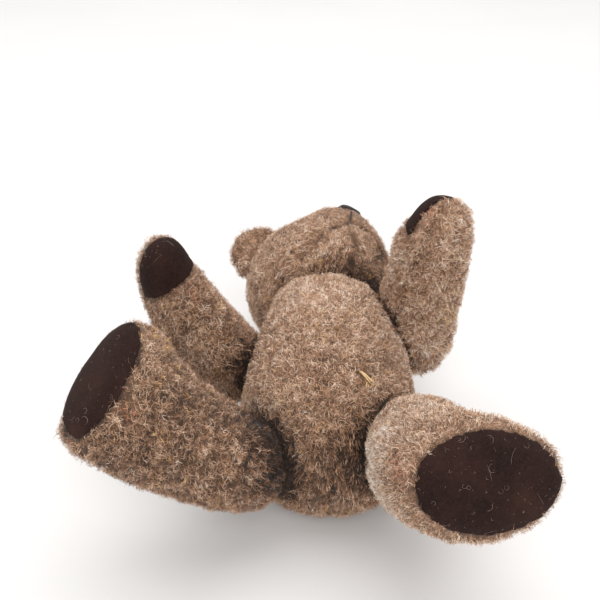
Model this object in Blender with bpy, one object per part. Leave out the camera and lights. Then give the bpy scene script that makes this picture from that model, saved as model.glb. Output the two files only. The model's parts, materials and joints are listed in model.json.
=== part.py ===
"""Threadbare jointed teddy bear, lying on its back.

A mohair skin over tightly packed wood wool, with felt paw and foot pads.  Head, arms and
legs each turn on a pair of hardboard discs held together by a split pin.

World frame: the bear's own left is +X, the top of its head points to +Y, its belly to +Z.
The origin is the middle of the flat spot on its back, so the surface it lies on is Z = 0.
Forms are drawn in millimetres and made into objects in metres.
"""

import math

import bmesh
import bpy
from mathutils import Matrix, Vector
from mathutils.bvhtree import BVHTree

# ---------------------------------------------------------------- driving dimensions, in millimetres
MM = 0.001

CLOTH = 2.0  # mohair cloth, with its backing
FIT = 0.3  # air left between pieces that touch
SEGMENTS = 16  # points round a soft section

DISC_RADIUS = {"neck": 15.5, "hip": 17.0, "shoulder": 14.0}
DISC_THICKNESS = 3.0
DISC_ROOM = 1.0  # stuffing kept clear of a disc's edge
WASHER_RADIUS = 7.0
WASHER_THICKNESS = 1.0
PIN_RADIUS = 1.5
PIN_SIDES = 8
PIN_EYE_RADIUS = 3.2
PIN_CURL_LENGTH = 5.0
JOINT_GAP = 0.6  # air between the two skins at a joint

# The torso along its spine: place, half width, half depth, and how far its middle rises.
TORSO_CENTRE = Vector((0.0, 9.0, 60.0))
TORSO_TILT = math.radians(9.0)  # neck end raised
TORSO = (
    (-80, 0, 0, 0),
    (-77, 30, 28, 0),
    (-69, 44, 42, 0),
    (-54, 54, 54, -4),
    (-28, 59, 61, -4.5),
    (0, 59.5, 62, -4.5),
    (30, 59.5, 61, -3),
    (56, 57, 57, -1),
    (76, 51, 48, 2),
    (90, 39, 37, 3),
    (97, 26, 24, 3),
    (100, 0, 0, 3),
)

# The head from the back of the skull to the nose: place, half width, half height, rise.
HEAD_CENTRE = Vector((-3.0, 158.0, 62.0))
HEAD_MUZZLE = Vector((0.30, 0.62, 0.72))
HEAD_CROWN = Vector((-0.204, 0.782, -0.589))
HEAD = (
    (-56, 0, 0, 2),
    (-51, 27, 28, 2),
    (-38, 46, 46, 1),
    (-18, 59, 57.5, -1),
    (4, 63, 59.5, -1.5),
    (24, 60, 54, -2),
    (38, 52, 46, -5),
    (49, 41, 36, -8),
    (60, 31, 27, -9),
    (69, 23, 20, -8),
    (75, 13, 11, -7),
    (77, 0, 0, -7),
)

# A leg from the top of the thigh to the sole: place, half width, half length, toe-ward shift.
LEG = (
    (-36, 0, 0, -1),
    (-32, 18, 16, -1),
    (-19.5, 30, 26, -1),
    (2, 36, 32, -1),
    (28, 36, 34, -3.5),
    (54, 33, 35, -5.5),
    (76, 31, 38, -3),
    (93, 31, 41.5, 1),
    (105, 30.5, 41.5, 3.5),
    (111, 28, 39.5, 4),
    (114.5, 18, 26, 4),
    (116, 0, 0, 4),
)
FOOT_PAD = (26.5, 38.0, 3.5)  # half width, half length, toe-ward shift
FOOT_PAD_FROM = 109.0

# An arm from the shoulder to the paw: place, half width, half depth, palm-ward shift.
ARM = (
    (-34, 0, 0, 0),
    (-30, 11.5, 14, 0),
    (-19, 21.5, 26, 0),
    (0, 25, 31.5, 1),
    (26, 25, 30.5, 2),
    (56, 24, 27.5, 2),
    (85, 21, 23.5, 3),
    (104, 18, 19.5, 4),
    (114, 13.5, 14, 5),
    (119, 7.5, 8, 5),
    (121, 0, 0, 5),
)
PAW_PAD_FROM = 89.0
PAW_PAD_LEVEL = 6.5  # the pad is the palm side of this level

# Each joint: a point inside the torso, and the way its pin points out through the skin.
NECK = (Vector((-2.0, 49.0, 63.5)), Vector((0.0, 1.0, 0.0)))
HIP = {
    "left": (Vector((15.5, -33.7, 60.5)), Vector((0.75, -0.62, 0.22))),
    "right": (Vector((-21.6, -28.7, 43.5)), Vector((-0.75, -0.62, 0.22))),
}
SHOULDER = {
    "left": (Vector((18.0, 55.0, 73.0)), Vector((0.94, 0.26, 0.20))),
    "right": (Vector((-26.0, 39.8, 51.2)), Vector((-0.95, 0.24, 0.16))),
}
NECK_SINK = 4.5  # how deep the discs pull the torso's skin in
HIP_SINK = {"left": 7.0, "right": 9.35}
SHOULDER_SINK = {"left": 6.5, "right": 5.5}
LEG_REACH = {"left": 22.0, "right": 23.5}  # from the torso's pressed skin to the middle of the thigh
ARM_REACH = {"left": 19.0, "right": 21.5}
LEG_SLIDE = {"left": (0.0, 0.0), "right": (-9.0, 2.0)}  # how far the middle of the thigh lies off its pin

# Which way each leg lies and its toes point, and which way each arm lies and its palm faces.
LEG_POSE = {
    "right": (Vector((-0.650, -0.260, 0.711)), Vector((0.469, 0.608, 0.640))),
    "left": (Vector((0.142, -0.838, 0.527)), Vector((0.989, 0.142, -0.041))),
}
ARM_POSE = {
    "right": (Vector((-0.440, -0.099, 0.892)), Vector((0.476, -0.869, 0.138))),
    "left": (Vector((0.125, -0.269, 0.955)), Vector((-0.446, 0.845, 0.296))),
}

# How far each limb has curved with age: its two ends go aside and forward, its middle goes back.
LEG_CURVE = {"left": (0.0, 1.0), "right": (5.0, 1.0)}
ARM_CURVE = {"left": (-1.0, -5.5), "right": (-10.5, 0.5)}
CURVE_MIDDLE = 0.4

# On the head, in its own frame: sideways, towards the crown, towards the nose.
EAR_PLACE = Vector((57.4, 16.8, 18.5))
EAR_FACING = Vector((0.045, -0.93, 0.25))
EAR_SIZE = Vector((29.0, 29.0, 7.5))
EYE_DIRECTION = Vector((0.42, 0.42, 0.80))
EYE_RADIUS = 6.0
EYE_DOME = 4.0
EYE_SHANK_RADIUS = 0.8
EYE_SHANK_LENGTH = 7.0
NOSE_DIRECTION = Vector((0.0, -0.18, 1.0))
NOSE_SIZE = Vector((11.0, 8.0, 3.0))
MOUTH_DIRECTION = Vector((0.0, -0.45, 1.0))
MOUTH_SIZE = Vector((1.3, 6.5, 2.2))

FUR = ((0.30, 0.22, 0.16), 0.95, 0.0)
WOOD_WOOL = ((0.62, 0.50, 0.30), 0.95, 0.0)
FELT = ((0.045, 0.028, 0.026), 0.95, 0.0)
THREAD = ((0.02, 0.017, 0.017), 0.7, 0.0)
BUTTON = ((0.015, 0.012, 0.01), 0.15, 0.0)
BOARD = ((0.28, 0.18, 0.10), 0.8, 0.0)
STEEL = ((0.45, 0.42, 0.38), 0.35, 1.0)


# ---------------------------------------------------------------- frames and forms
def frame_at(origin, along, front):
    """A frame with Z along the piece and Y as near to `front` as a right angle allows."""
    z = along.normalized()
    y = (front - z * front.dot(z)).normalized()
    turn = Matrix((y.cross(z), y, z)).transposed().to_4x4()
    return Matrix.Translation(origin) @ turn


def mirrored(vector, side):
    return Vector((-vector.x, vector.y, vector.z)) if side == "right" else vector.copy()


def face_outwards(form):
    bmesh.ops.recalc_face_normals(form, faces=form.faces)
    if form.calc_volume(signed=True) < 0:
        bmesh.ops.reverse_faces(form, faces=form.faces)


def sections(stations, frame):
    """A closed soft form: an oval at each station, drawn to a point at either end."""
    form = bmesh.new()
    rings = []
    for place, side, front, shift, *aside in stations:
        turns = [2 * math.pi * k / SEGMENTS for k in range(SEGMENTS)] if side else [0.0]
        front = front if side else 0.0
        middle = Vector((sum(aside), shift, place))
        ring = [middle + Vector((side * math.cos(a), front * math.sin(a), 0)) for a in turns]
        rings.append([form.verts.new(co) for co in ring])
    for low, high in zip(rings, rings[1:]):
        for k in range(SEGMENTS):
            n = (k + 1) % SEGMENTS
            a, b, c, d = low[k % len(low)], low[n % len(low)], high[n % len(high)], high[k % len(high)]
            for corners in ((a, b, c), (a, c, d)):
                if len(set(corners)) == 3:
                    form.faces.new(corners)
    form.transform(frame)
    face_outwards(form)
    return form


def curved(stations, curve):
    """The stations of a limb that has curved: the middle one way, the two ends the other."""
    aside, forward = curve
    found = []
    for place, side, front, shift in stations:
        along = min(max(place / stations[-1][0], 0.0), 1.0)
        share = (2 * along - 1) ** 2 - CURVE_MIDDLE
        found.append((place, side, front, shift + forward * share, aside * share))
    return found


def press(form, point, axis):
    """Take off everything beyond a plane, which leaves a flat where the skin is pressed."""
    every = [*form.verts, *form.edges, *form.faces]
    cut = bmesh.ops.bisect_plane(form, geom=every, plane_co=point, plane_no=axis, clear_outer=True)
    rim = [found for found in cut["geom_cut"] if isinstance(found, bmesh.types.BMEdge)]
    bmesh.ops.contextual_create(form, geom=rim)
    face_outwards(form)


def soft_form(stations, frame, flats, inset=0.0):
    """A soft form moved inwards by `inset`, with a flat wherever something presses on it."""
    form = sections(stations, frame)
    form.normal_update()
    moves = [vert.normal * vert.calc_shell_factor() * inset for vert in form.verts]
    for vert, move in zip(form.verts, moves):
        vert.co -= move
    for point, axis in flats:
        press(form, point - axis * inset, axis)
    return form


def rod(radius, low, high, frame, sides=SEGMENTS, oval=(1.0, 1.0)):
    """A closed cylinder between two heights of a frame, round or oval."""
    form = bmesh.new()
    shape = Matrix.Translation((0, 0, (low + high) / 2)) @ Matrix.Diagonal((*oval, 1.0, 1.0))
    bmesh.ops.create_cone(
        form,
        cap_ends=True,
        segments=sides,
        radius1=radius,
        radius2=radius,
        depth=high - low,
        matrix=frame @ shape,
    )
    return form


def ball(size, frame, across=14, down=8):
    form = bmesh.new()
    shape = frame @ Matrix.Diagonal((*size, 1.0))
    bmesh.ops.create_uvsphere(form, u_segments=across, v_segments=down, radius=1.0, matrix=shape)
    return form


def block(low, high, frame):
    """A closed box between two corners of a frame."""
    form = bmesh.new()
    middle = (Vector(low) + Vector(high)) / 2
    shape = Matrix.Translation(middle) @ Matrix.Diagonal((*(Vector(high) - Vector(low)), 1.0))
    bmesh.ops.create_cube(form, size=1.0, matrix=frame @ shape)
    return form


def wire_ring(radius, thickness, frame, around=12, across=6):
    """A round ring of round wire."""
    form = bmesh.new()
    profile = [2 * math.pi * k / across for k in range(across)]
    wire = [form.verts.new((radius + thickness * math.cos(a), 0, thickness * math.sin(a))) for a in profile]
    edges = [form.edges.new((wire[k], wire[(k + 1) % across])) for k in range(across)]
    turn = {"axis": (0, 0, 1), "cent": (0, 0, 0), "angle": 2 * math.pi, "steps": around, "use_merge": True}
    bmesh.ops.spin(form, geom=wire + edges, **turn)
    bmesh.ops.remove_doubles(form, verts=form.verts, dist=0.01)
    form.transform(frame)
    face_outwards(form)
    return form


def skin_hit(form, origin, direction):
    """Where a ray from inside a form meets its skin, and the way the skin faces there."""
    place, normal, _, _ = BVHTree.FromBMesh(form).ray_cast(origin, direction.normalized())
    return place, normal


# ---------------------------------------------------------------- objects
def start_scene():
    for item in list(bpy.data.objects):
        bpy.data.objects.remove(item, do_unlink=True)
    for name in ("teddy_bear", "cutters"):
        bpy.context.scene.collection.children.link(bpy.data.collections.new(name))


def home(name, frame):
    """An empty on a joint's axis, which carries every piece that turns with it."""
    empty = bpy.data.objects.new(name, None)
    at = frame.copy()
    at.translation = frame.translation * MM
    empty.matrix_world = at
    bpy.data.collections["teddy_bear"].objects.link(empty)
    return empty


def put(name, form, parent, group="cutters"):
    """Make an object of a form drawn in world millimetres, and hang it from its home empty."""
    mesh = bpy.data.meshes.new(name)
    form.transform(parent.matrix_world.inverted() @ Matrix.Scale(MM, 4))
    form.to_mesh(mesh)
    form.free()
    item = bpy.data.objects.new(name, mesh)
    item.parent = parent
    bpy.data.collections[group].objects.link(item)
    return item


def cutter(name, form, parent):
    item = put(name, form, parent)
    item.hide_render = True
    item.display_type = "WIRE"
    return item


def piece(name, form, parent, finish):
    """A named sub-part with a material of its own."""
    item = put(name, form, parent, "teddy_bear")
    colour, roughness, metallic = finish
    made = bpy.data.materials.new(name)
    made.use_nodes = True
    shader = made.node_tree.nodes["Principled BSDF"]
    shader.inputs["Base Color"].default_value = (*colour, 1.0)
    shader.inputs["Roughness"].default_value = roughness
    shader.inputs["Metallic"].default_value = metallic
    item.data.materials.append(made)
    item.data.shade_smooth()
    item.data.set_sharp_from_angle(angle=math.radians(40))
    return item


def boolean(item, operation, *tools):
    for tool in tools:
        step = item.modifiers.new(tool.name, "BOOLEAN")
        step.operation = operation
        step.object = tool


# ---------------------------------------------------------------- joints
def disc_radius(name):
    return next(radius for kind, radius in DISC_RADIUS.items() if kind in name)


def disc_joint(name, frame, inner, outer):
    """Two hardboard discs, each with a steel washer, on a split pin with its ends curled over."""
    disc_at = CLOTH + FIT
    washer_at = disc_at + DISC_THICKNESS + FIT
    pin_at = washer_at + WASHER_THICKNESS + FIT
    for side, parent, turn in (("body", inner, -1), ("limb", outer, 1)):
        base = 0.0 if side == "body" else JOINT_GAP
        plates = (
            ("disc", disc_at, disc_radius(name), DISC_THICKNESS, BOARD),
            ("washer", washer_at, WASHER_RADIUS, WASHER_THICKNESS, STEEL),
        )
        for kind, start, radius, thickness, finish in plates:
            low, high = sorted((turn * (base + start), turn * (base + start + thickness)))
            plate = piece(f"{name}_{side}_{kind}", rod(radius, low, high, frame), parent, finish)
            bore = rod(PIN_RADIUS + FIT, low - 1, high + 1, frame, PIN_SIDES)
            boolean(plate, "DIFFERENCE", cutter(f"{name}_{side}_{kind}_bore", bore, parent))
    low, high = -pin_at - PIN_RADIUS, JOINT_GAP + pin_at + PIN_RADIUS
    pin = piece(f"{name}_split_pin", rod(PIN_RADIUS, low, high, frame, PIN_SIDES), outer, STEEL)
    eye_frame = frame @ Matrix.Translation((0, 0, JOINT_GAP + pin_at + PIN_EYE_RADIUS + PIN_RADIUS))
    eye = wire_ring(PIN_EYE_RADIUS, PIN_RADIUS * 0.8, eye_frame @ Matrix.Rotation(math.pi / 2, 4, "X"))
    curl_frame = frame @ Matrix.Translation((0, 0, low)) @ Matrix.Rotation(math.pi / 2, 4, "Y")
    curl = rod(PIN_RADIUS * 0.9, -PIN_CURL_LENGTH, PIN_CURL_LENGTH, curl_frame, PIN_SIDES)
    boolean(pin, "UNION", cutter(f"{name}_pin_eye", eye, outer), cutter(f"{name}_pin_curl", curl, outer))


def pin_hole(name, frame, parent):
    """The hole that a pin makes in the two skins of a joint."""
    return cutter(f"{name}_hole", rod(PIN_RADIUS + 2 * FIT, -3 * CLOTH, 3 * CLOTH, frame, PIN_SIDES), parent)


def joint_room(name, frame, parent, turn):
    """The room in the stuffing for a disc, its washer and the end of the pin."""
    plates = JOINT_GAP + CLOTH + 4 * FIT + DISC_THICKNESS + WASHER_THICKNESS
    ends = plates + 2 * PIN_EYE_RADIUS + 4 * PIN_RADIUS
    spans = (("disc", disc_radius(name) + DISC_ROOM, plates), ("pin", PIN_CURL_LENGTH + 1.5, ends))
    made = []
    for kind, radius, depth in spans:
        low, high = sorted((0.0, turn * depth))
        made.append(cutter(f"{name}_{kind}_room", rod(radius, low, high, frame), parent))
    return made


# ---------------------------------------------------------------- soft pieces
def stuffed(name, shape, parent, holes, rooms):
    """A cloth cover, the wood wool inside it, and the hollow of the cover for later cuts."""
    stuffing = piece(f"{name}_stuffing", soft_form(*shape, CLOTH + FIT), parent, WOOD_WOOL)
    boolean(stuffing, "DIFFERENCE", *rooms)
    cover = piece(f"{name}_cover", soft_form(*shape), parent, FUR)
    hollow = cutter(f"{name}_hollow", soft_form(*shape, CLOTH), parent)
    boolean(cover, "DIFFERENCE", hollow, *holes)
    return cover, stuffing, hollow


def let_in_pad(name, shape, cover, hollow, region, opening):
    """One region of the skin is felt instead of mohair."""
    pad = piece(name, soft_form(*shape), cover.parent, FELT)
    boolean(pad, "INTERSECT", cutter(f"{name}_region", region, cover.parent))
    boolean(pad, "DIFFERENCE", hollow)
    boolean(cover, "DIFFERENCE", cutter(f"{name}_opening", opening, cover.parent))


def torso_frame():
    spine = Vector((0, math.cos(TORSO_TILT), math.sin(TORSO_TILT)))
    belly = Vector((0, -math.sin(TORSO_TILT), math.cos(TORSO_TILT)))
    return frame_at(TORSO_CENTRE, spine, belly)


def joint_frames():
    """Each joint's frame: its origin on the torso's pressed skin, its Z along the pin."""
    form = sections(TORSO, torso_frame())
    found = {}
    places = [("neck", NECK, NECK_SINK)]
    places += [(f"hip_{side}", HIP[side], HIP_SINK[side]) for side in ("left", "right")]
    places += [(f"shoulder_{side}", SHOULDER[side], SHOULDER_SINK[side]) for side in ("left", "right")]
    for name, (inside, out), sink in places:
        out = out.normalized()
        skin, _ = skin_hit(form, inside, out)
        found[name] = frame_at(skin - out * sink, out, Vector((0, 0, 1)))
    form.free()
    return found


def build_torso(frames):
    flats = [(Vector((0, 0, 0)), Vector((0, 0, -1)))]
    flats += [(frame.translation, frame.col[2].to_3d()) for frame in frames.values()]
    parent = home("torso", Matrix.Identity(4))
    holes = [pin_hole(name, frame, parent) for name, frame in frames.items()]
    rooms = [room for name, frame in frames.items() for room in joint_room(f"body_{name}", frame, parent, -1)]
    stuffed("body", (TORSO, torso_frame(), flats), parent, holes, rooms)
    return parent


def joint_flat(frame):
    """Where a limb lies flat against the torso, just clear of its skin."""
    out = frame.col[2].to_3d()
    return [(frame.translation + out * JOINT_GAP, -out)]


def build_head(frame, torso):
    at = frame_at(HEAD_CENTRE, HEAD_MUZZLE, HEAD_CROWN)
    shape = (HEAD, at, joint_flat(frame))
    parent = home("head", frame)
    rooms = joint_room("limb_neck", frame, parent, 1)
    cover, stuffing, _ = stuffed("head", shape, parent, [pin_hole("limb_neck", frame, parent)], rooms)
    for socket in build_face(at, parent, cutter("head_skin", soft_form(*shape, -FIT), parent)):
        boolean(cover, "DIFFERENCE", socket)
        boolean(stuffing, "DIFFERENCE", socket)
    disc_joint("neck", frame, torso, parent)


def build_face(at, parent, skin):
    """Ears, button eyes, and the stitched nose and mouth.  Gives back the eyes' sockets."""
    form = sections(HEAD, at)
    centre = at.translation
    sockets = []
    for side in ("left", "right"):
        ear_at = at @ frame_at(mirrored(EAR_PLACE, side), mirrored(EAR_FACING, side), Vector((0, 0, 1)))
        ear = piece(f"ear_{side}", ball(EAR_SIZE, ear_at), parent, FUR)
        boolean(ear, "DIFFERENCE", skin)
        look = at.to_3x3() @ mirrored(EYE_DIRECTION, side)
        place, normal = skin_hit(form, centre, look)
        eye_at = frame_at(place + normal * FIT, normal, Vector((0, 1, 0)))
        eye = piece(f"eye_{side}", ball((EYE_RADIUS, EYE_RADIUS, EYE_DOME), eye_at), parent, BUTTON)
        boolean(eye, "DIFFERENCE", skin)
        shank = rod(EYE_SHANK_RADIUS, -EYE_SHANK_LENGTH, EYE_DOME / 2, eye_at, 8)
        boolean(eye, "UNION", cutter(f"eye_{side}_shank", shank, parent))
        socket = rod(EYE_SHANK_RADIUS + FIT, -EYE_SHANK_LENGTH - 1, EYE_DOME, eye_at, 8)
        sockets.append(cutter(f"eye_{side}_socket", socket, parent))
    for name, look, size in (("nose", NOSE_DIRECTION, NOSE_SIZE), ("mouth", MOUTH_DIRECTION, MOUTH_SIZE)):
        place, normal = skin_hit(form, centre, at.to_3x3() @ look)
        stitches_at = frame_at(place, normal, at.col[1].to_3d())
        stitches = piece(f"{name}_stitching", ball(size, stitches_at), parent, THREAD)
        boolean(stitches, "DIFFERENCE", skin)
    form.free()
    return sockets


def limb_frame(joint, reach, pose, slide=(0.0, 0.0)):
    return frame_at(joint @ Vector((*slide, reach)), *pose)


def build_leg(side, joint, torso):
    at = limb_frame(joint, LEG_REACH[side], LEG_POSE[side], LEG_SLIDE[side])
    stations = curved(LEG, LEG_CURVE[side])
    shape = (stations, at, joint_flat(joint))
    parent = home(f"leg_{side}", joint)
    rooms = joint_room(f"limb_hip_{side}", joint, parent, 1)
    holes = [pin_hole(f"limb_hip_{side}", joint, parent)]
    cover, _, hollow = stuffed(f"leg_{side}", shape, parent, holes, rooms)
    low, high = FOOT_PAD_FROM, LEG[-1][0] + CLOTH
    wide, long, shift = FOOT_PAD
    sole = at @ Matrix.Translation((stations[-1][4], shift, 0))
    region = rod(1.0, low, high, sole, oval=(wide, long))
    opening = rod(1.0, low - CLOTH, high + CLOTH, sole, oval=(wide + FIT, long + FIT))
    let_in_pad(f"foot_pad_{side}", shape, cover, hollow, region, opening)
    disc_joint(f"hip_{side}", joint, torso, parent)


def build_arm(side, joint, torso):
    at = limb_frame(joint, ARM_REACH[side], ARM_POSE[side])
    shape = (curved(ARM, ARM_CURVE[side]), at, joint_flat(joint))
    parent = home(f"arm_{side}", joint)
    rooms = joint_room(f"limb_shoulder_{side}", joint, parent, 1)
    holes = [pin_hole(f"limb_shoulder_{side}", joint, parent)]
    cover, _, hollow = stuffed(f"arm_{side}", shape, parent, holes, rooms)
    reach = 50.0
    far = (reach, reach, ARM[-1][0] + reach)
    region = block((-reach, PAW_PAD_LEVEL, PAW_PAD_FROM), far, at)
    opening = block((-reach, PAW_PAD_LEVEL - FIT, PAW_PAD_FROM - FIT), far, at)
    let_in_pad(f"paw_pad_{side}", shape, cover, hollow, region, opening)
    disc_joint(f"shoulder_{side}", joint, torso, parent)


def main():
    start_scene()
    frames = joint_frames()
    torso = build_torso(frames)
    build_head(frames["neck"], torso)
    for side in ("left", "right"):
        build_leg(side, frames[f"hip_{side}"], torso)
        build_arm(side, frames[f"shoulder_{side}"], torso)


main()
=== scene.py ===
# %% [markdown]
# # A threadbare mohair teddy bear
# The bear is sewn from mohair plush and packed hard with wood wool. Its head, arms and legs turn on disc
# joints hidden inside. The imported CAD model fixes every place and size. This script gives it cloth that
# swells between its seams, a tangled pile, felt pads, stitches and the marks of long use.

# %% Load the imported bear
import json
import math

import bmesh
import bpy
import numpy as np
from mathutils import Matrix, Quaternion, Vector, noise
from mathutils.bvhtree import BVHTree

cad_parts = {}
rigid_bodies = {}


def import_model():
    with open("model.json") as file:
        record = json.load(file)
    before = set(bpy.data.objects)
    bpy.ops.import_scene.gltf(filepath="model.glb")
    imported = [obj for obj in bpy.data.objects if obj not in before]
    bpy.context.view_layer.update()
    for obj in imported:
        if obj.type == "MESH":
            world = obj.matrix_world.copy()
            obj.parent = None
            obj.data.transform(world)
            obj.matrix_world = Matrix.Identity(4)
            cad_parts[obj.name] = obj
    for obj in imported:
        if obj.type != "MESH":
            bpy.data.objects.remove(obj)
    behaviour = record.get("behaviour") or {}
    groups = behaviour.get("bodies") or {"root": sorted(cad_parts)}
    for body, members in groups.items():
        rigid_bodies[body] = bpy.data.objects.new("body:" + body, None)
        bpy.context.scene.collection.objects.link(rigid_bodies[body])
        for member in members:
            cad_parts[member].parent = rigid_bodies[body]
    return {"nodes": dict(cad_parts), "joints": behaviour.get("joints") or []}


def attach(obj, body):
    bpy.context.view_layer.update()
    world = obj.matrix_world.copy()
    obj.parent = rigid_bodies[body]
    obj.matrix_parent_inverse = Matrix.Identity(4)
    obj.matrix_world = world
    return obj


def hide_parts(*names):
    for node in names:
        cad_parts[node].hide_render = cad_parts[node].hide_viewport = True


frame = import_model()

MM, TINY = 0.001, 1e-9
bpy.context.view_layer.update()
nodes, joints = frame["nodes"], {joint["name"]: joint for joint in frame["joints"]}

# %% [markdown]
# ## Helpers for colours and node trees
# A maker picks a colour from a swatch, and a swatch is given in sRGB. The renderer works in linear
# light, so one function turns the hex value round. Every material below is a small tree of nodes, and one
# function adds a node, sets it and links it.


# %% Colour and node helpers
def linear(swatch):
    """An sRGB hex swatch as linear red, green, blue and alpha."""
    levels = [int(swatch[i : i + 2], 16) / 255 for i in (1, 3, 5)]
    return (*[v / 12.92 if v <= 0.04045 else ((v + 0.055) / 1.055) ** 2.4 for v in levels], 1.0)


# the kinds of node that come up most
VECTOR, NOISE, RAMP, MIX = ["ShaderNode" + kind for kind in ("VectorMath", "TexNoise", "ValToRGB", "Mix")]


def add(tree, kind, *values, out=0, stops=(), **settings):
    """Adds a node and returns one of its outputs.

    The kind is a node's type, or an operation's name alone for a step of arithmetic. Values fill the
    inputs in order, and a dict fills them by name. Each is a number, a swatch or another node's output.
    Settings change the node itself, and stops are a colour ramp's places and swatches.
    """
    if kind.isupper():
        kind, settings["operation"] = "ShaderNodeMath", kind
    node = tree.nodes.new(kind)
    for name, value in settings.items():
        setattr(node, name, value)
    for rank, value in enumerate(values):
        for name, one in (value if isinstance(value, dict) else {rank: value}).items():
            if isinstance(one, bpy.types.NodeSocket):
                tree.links.new(one, node.inputs[name])
            else:
                node.inputs[name].default_value = linear(one) if str(one).startswith("#") else one
    for rank, (place, swatch) in enumerate(stops):
        marks = node.color_ramp.elements
        mark = marks[rank] if rank < len(marks) else marks.new(place)
        mark.position, mark.color = place, linear(swatch)
    return node.outputs[out] if node.outputs else None


def new_material(name, **sockets):
    """A material with one Principled node, its tree, and the places on a piece that a pattern follows.

    What is the same all over is set on the node's sockets.
    """
    material = bpy.data.materials.new(name)
    material.use_nodes = True
    for socket, value in sockets.items():
        material.node_tree.nodes["Principled BSDF"].inputs[socket.replace("_", " ")].default_value = value
    tree = material.node_tree
    return material, tree, add(tree, "ShaderNodeTexCoord", out="Object")


def finish_with(tree, colour, height=None, rise=0.0):
    """Links a pattern of colour to the shader, and a pattern that raises the surface by some metres."""
    inputs = tree.nodes["Principled BSDF"].inputs
    tree.links.new(colour, inputs["Base Color"])
    if height is not None:
        bump = add(tree, "ShaderNodeBump", {"Height": height, "Distance": rise})
        tree.links.new(bump, inputs["Normal"])


def placed(name, data):
    """An object in the scene that shows some data: a mesh, a light or the camera."""
    piece = bpy.data.objects.new(name, data)
    bpy.context.scene.collection.objects.link(piece)
    return piece


print("black felt swatch in linear light:", [round(v, 3) for v in linear("#33221f")])

# %% [markdown]
# ## Camera, table and light
# The bear lies on a pale table and is seen from its feet, from about 30 degrees above, with a normal lens.
# A very large soft box hangs over the head end and a second one stands high in front, so the belly and the
# upper sides are bright and the seat falls into soft shade. A white room fills the rest.

# %% Camera
FILM, LENS = 36.0, 50.28  # mm
EYE, DOWN = (-0.0200, -0.4764, 0.4147), 29.5  # metres, and degrees below level
camera_data = bpy.data.cameras.new("camera")
camera_data.sensor_width, camera_data.lens = FILM, LENS
camera = placed("camera", camera_data)
camera.location, camera.rotation_euler = EYE, (math.radians(90 - DOWN), 0.0, 0.0)
bpy.context.scene.camera = camera
bpy.context.scene.view_settings.view_transform = "Standard"
print("camera at", [round(v, 3) for v in camera.location])

# %% Table
TABLE_HALF, TABLE_DROP = 12.0, 0.3 * MM
floor_mesh = bpy.data.meshes.new("table")
corners = [(x * TABLE_HALF, y * TABLE_HALF, 0) for x, y in ((-1, -1), (1, -1), (1, 1), (-1, 1))]
floor_mesh.from_pydata(corners, [], [(0, 1, 2, 3)])
floor = placed("table", floor_mesh)
floor.location.z = -TABLE_DROP
# Satin white laminate: almost white, with a faint unevenness and no visible grain.
laminate, tree, where = new_material("white_laminate_satin", Roughness=0.6)
cloudy = add(tree, NOISE, {"Vector": where, "Scale": 3.0, "Detail": 2.0})
finish_with(tree, add(tree, RAMP, cloudy, stops=((0.3, "#d5d5d6"), (0.7, "#d8d8d9"))))
floor_mesh.materials.append(laminate)
print("table:", laminate.name)


# %% Lights and room
def area_light(name, place, target, size, watts, colour):
    """A round soft box of some metres across that faces a target."""
    data = bpy.data.lights.new(name, "AREA")
    data.shape, data.size, data.energy, data.color = "DISK", size, watts, linear(colour)[:3]
    light = placed(name, data)
    light.location = place
    light.rotation_euler = (Vector(target) - Vector(place)).to_track_quat("-Z", "Y").to_euler()


area_light("soft_box_overhead", (-0.10, 1.00, 2.80), (0, 0.2, 0.05), 4.0, 78.0, "#fffcf8")
area_light("soft_box_front", (0.30, -2.30, 1.70), (0, 0, 0.05), 2.4, 50.0, "#fffefc")
ROOM_WHITE, ROOM_LIGHT = "#fffdfb", 0.78
room = bpy.data.worlds.new("white_room")
room.use_nodes = True
room.node_tree.nodes["Background"].inputs["Color"].default_value = linear(ROOM_WHITE)
room.node_tree.nodes["Background"].inputs["Strength"].default_value = ROOM_LIGHT
bpy.context.scene.world = room

# %% [markdown]
# ## The cloth covers
# Each part is a bag of cloth, turned and packed hard with wood wool. Its cover, stuffing and pads are fused
# into one outer form by a voxel remesh. The seams and the flat places at the joints are held, and a cloth
# simulation under pressure swells the rest, as packing does. Only a little swelling is let through,
# because a hard-packed bear shows its pattern shapes clearly.

# %% What each part is made of
SIDES = ("left", "right")
PARTS = {"torso": ["body_cover", "body_stuffing"], "head": ["head_cover", "head_stuffing"]}
for side in SIDES:
    PARTS["leg_" + side] = ["leg_%s_cover" % side, "leg_%s_stuffing" % side, "foot_pad_" + side]
    PARTS["arm_" + side] = ["arm_%s_cover" % side, "arm_%s_stuffing" % side, "paw_pad_" + side]
EARS = {"ear_" + side: ["ear_" + side] for side in SIDES}
PADS = {"foot_pad_" + side: "leg_" + side for side in SIDES}
PADS.update({"paw_pad_" + side: "arm_" + side for side in SIDES})
PAD_ON = {limb: pad for pad, limb in PADS.items()}
BODY_OF = {name: "head" if name in EARS else name for name in (*PARTS, *EARS)}
print("parts:", list(BODY_OF), "pads:", list(PADS))


# %% Helpers for meshes
def read(items, key):
    """Three numbers for each item of a mesh, as the rows of an array."""
    flat = np.empty(len(items) * 3, np.float32)
    items.foreach_get(key, flat)
    return flat.reshape(-1, 3).astype(float)


def read_points(mesh):
    return read(mesh.vertices, "co")


def read_normals(mesh):
    return read(mesh.vertex_normals, "vector")


def write_points(mesh, points):
    mesh.vertices.foreach_set("co", points.astype(np.float32).ravel())
    mesh.update()


def dress(mesh, material):
    mesh.materials.clear()
    mesh.materials.append(material)


def baked_mesh(piece, name):
    """The piece's mesh with its modifiers applied, which then leave the piece."""
    shown = piece.evaluated_get(bpy.context.evaluated_depsgraph_get())
    mesh = bpy.data.meshes.new_from_object(shown)
    mesh.name = name
    piece.modifiers.clear()
    return mesh


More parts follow.
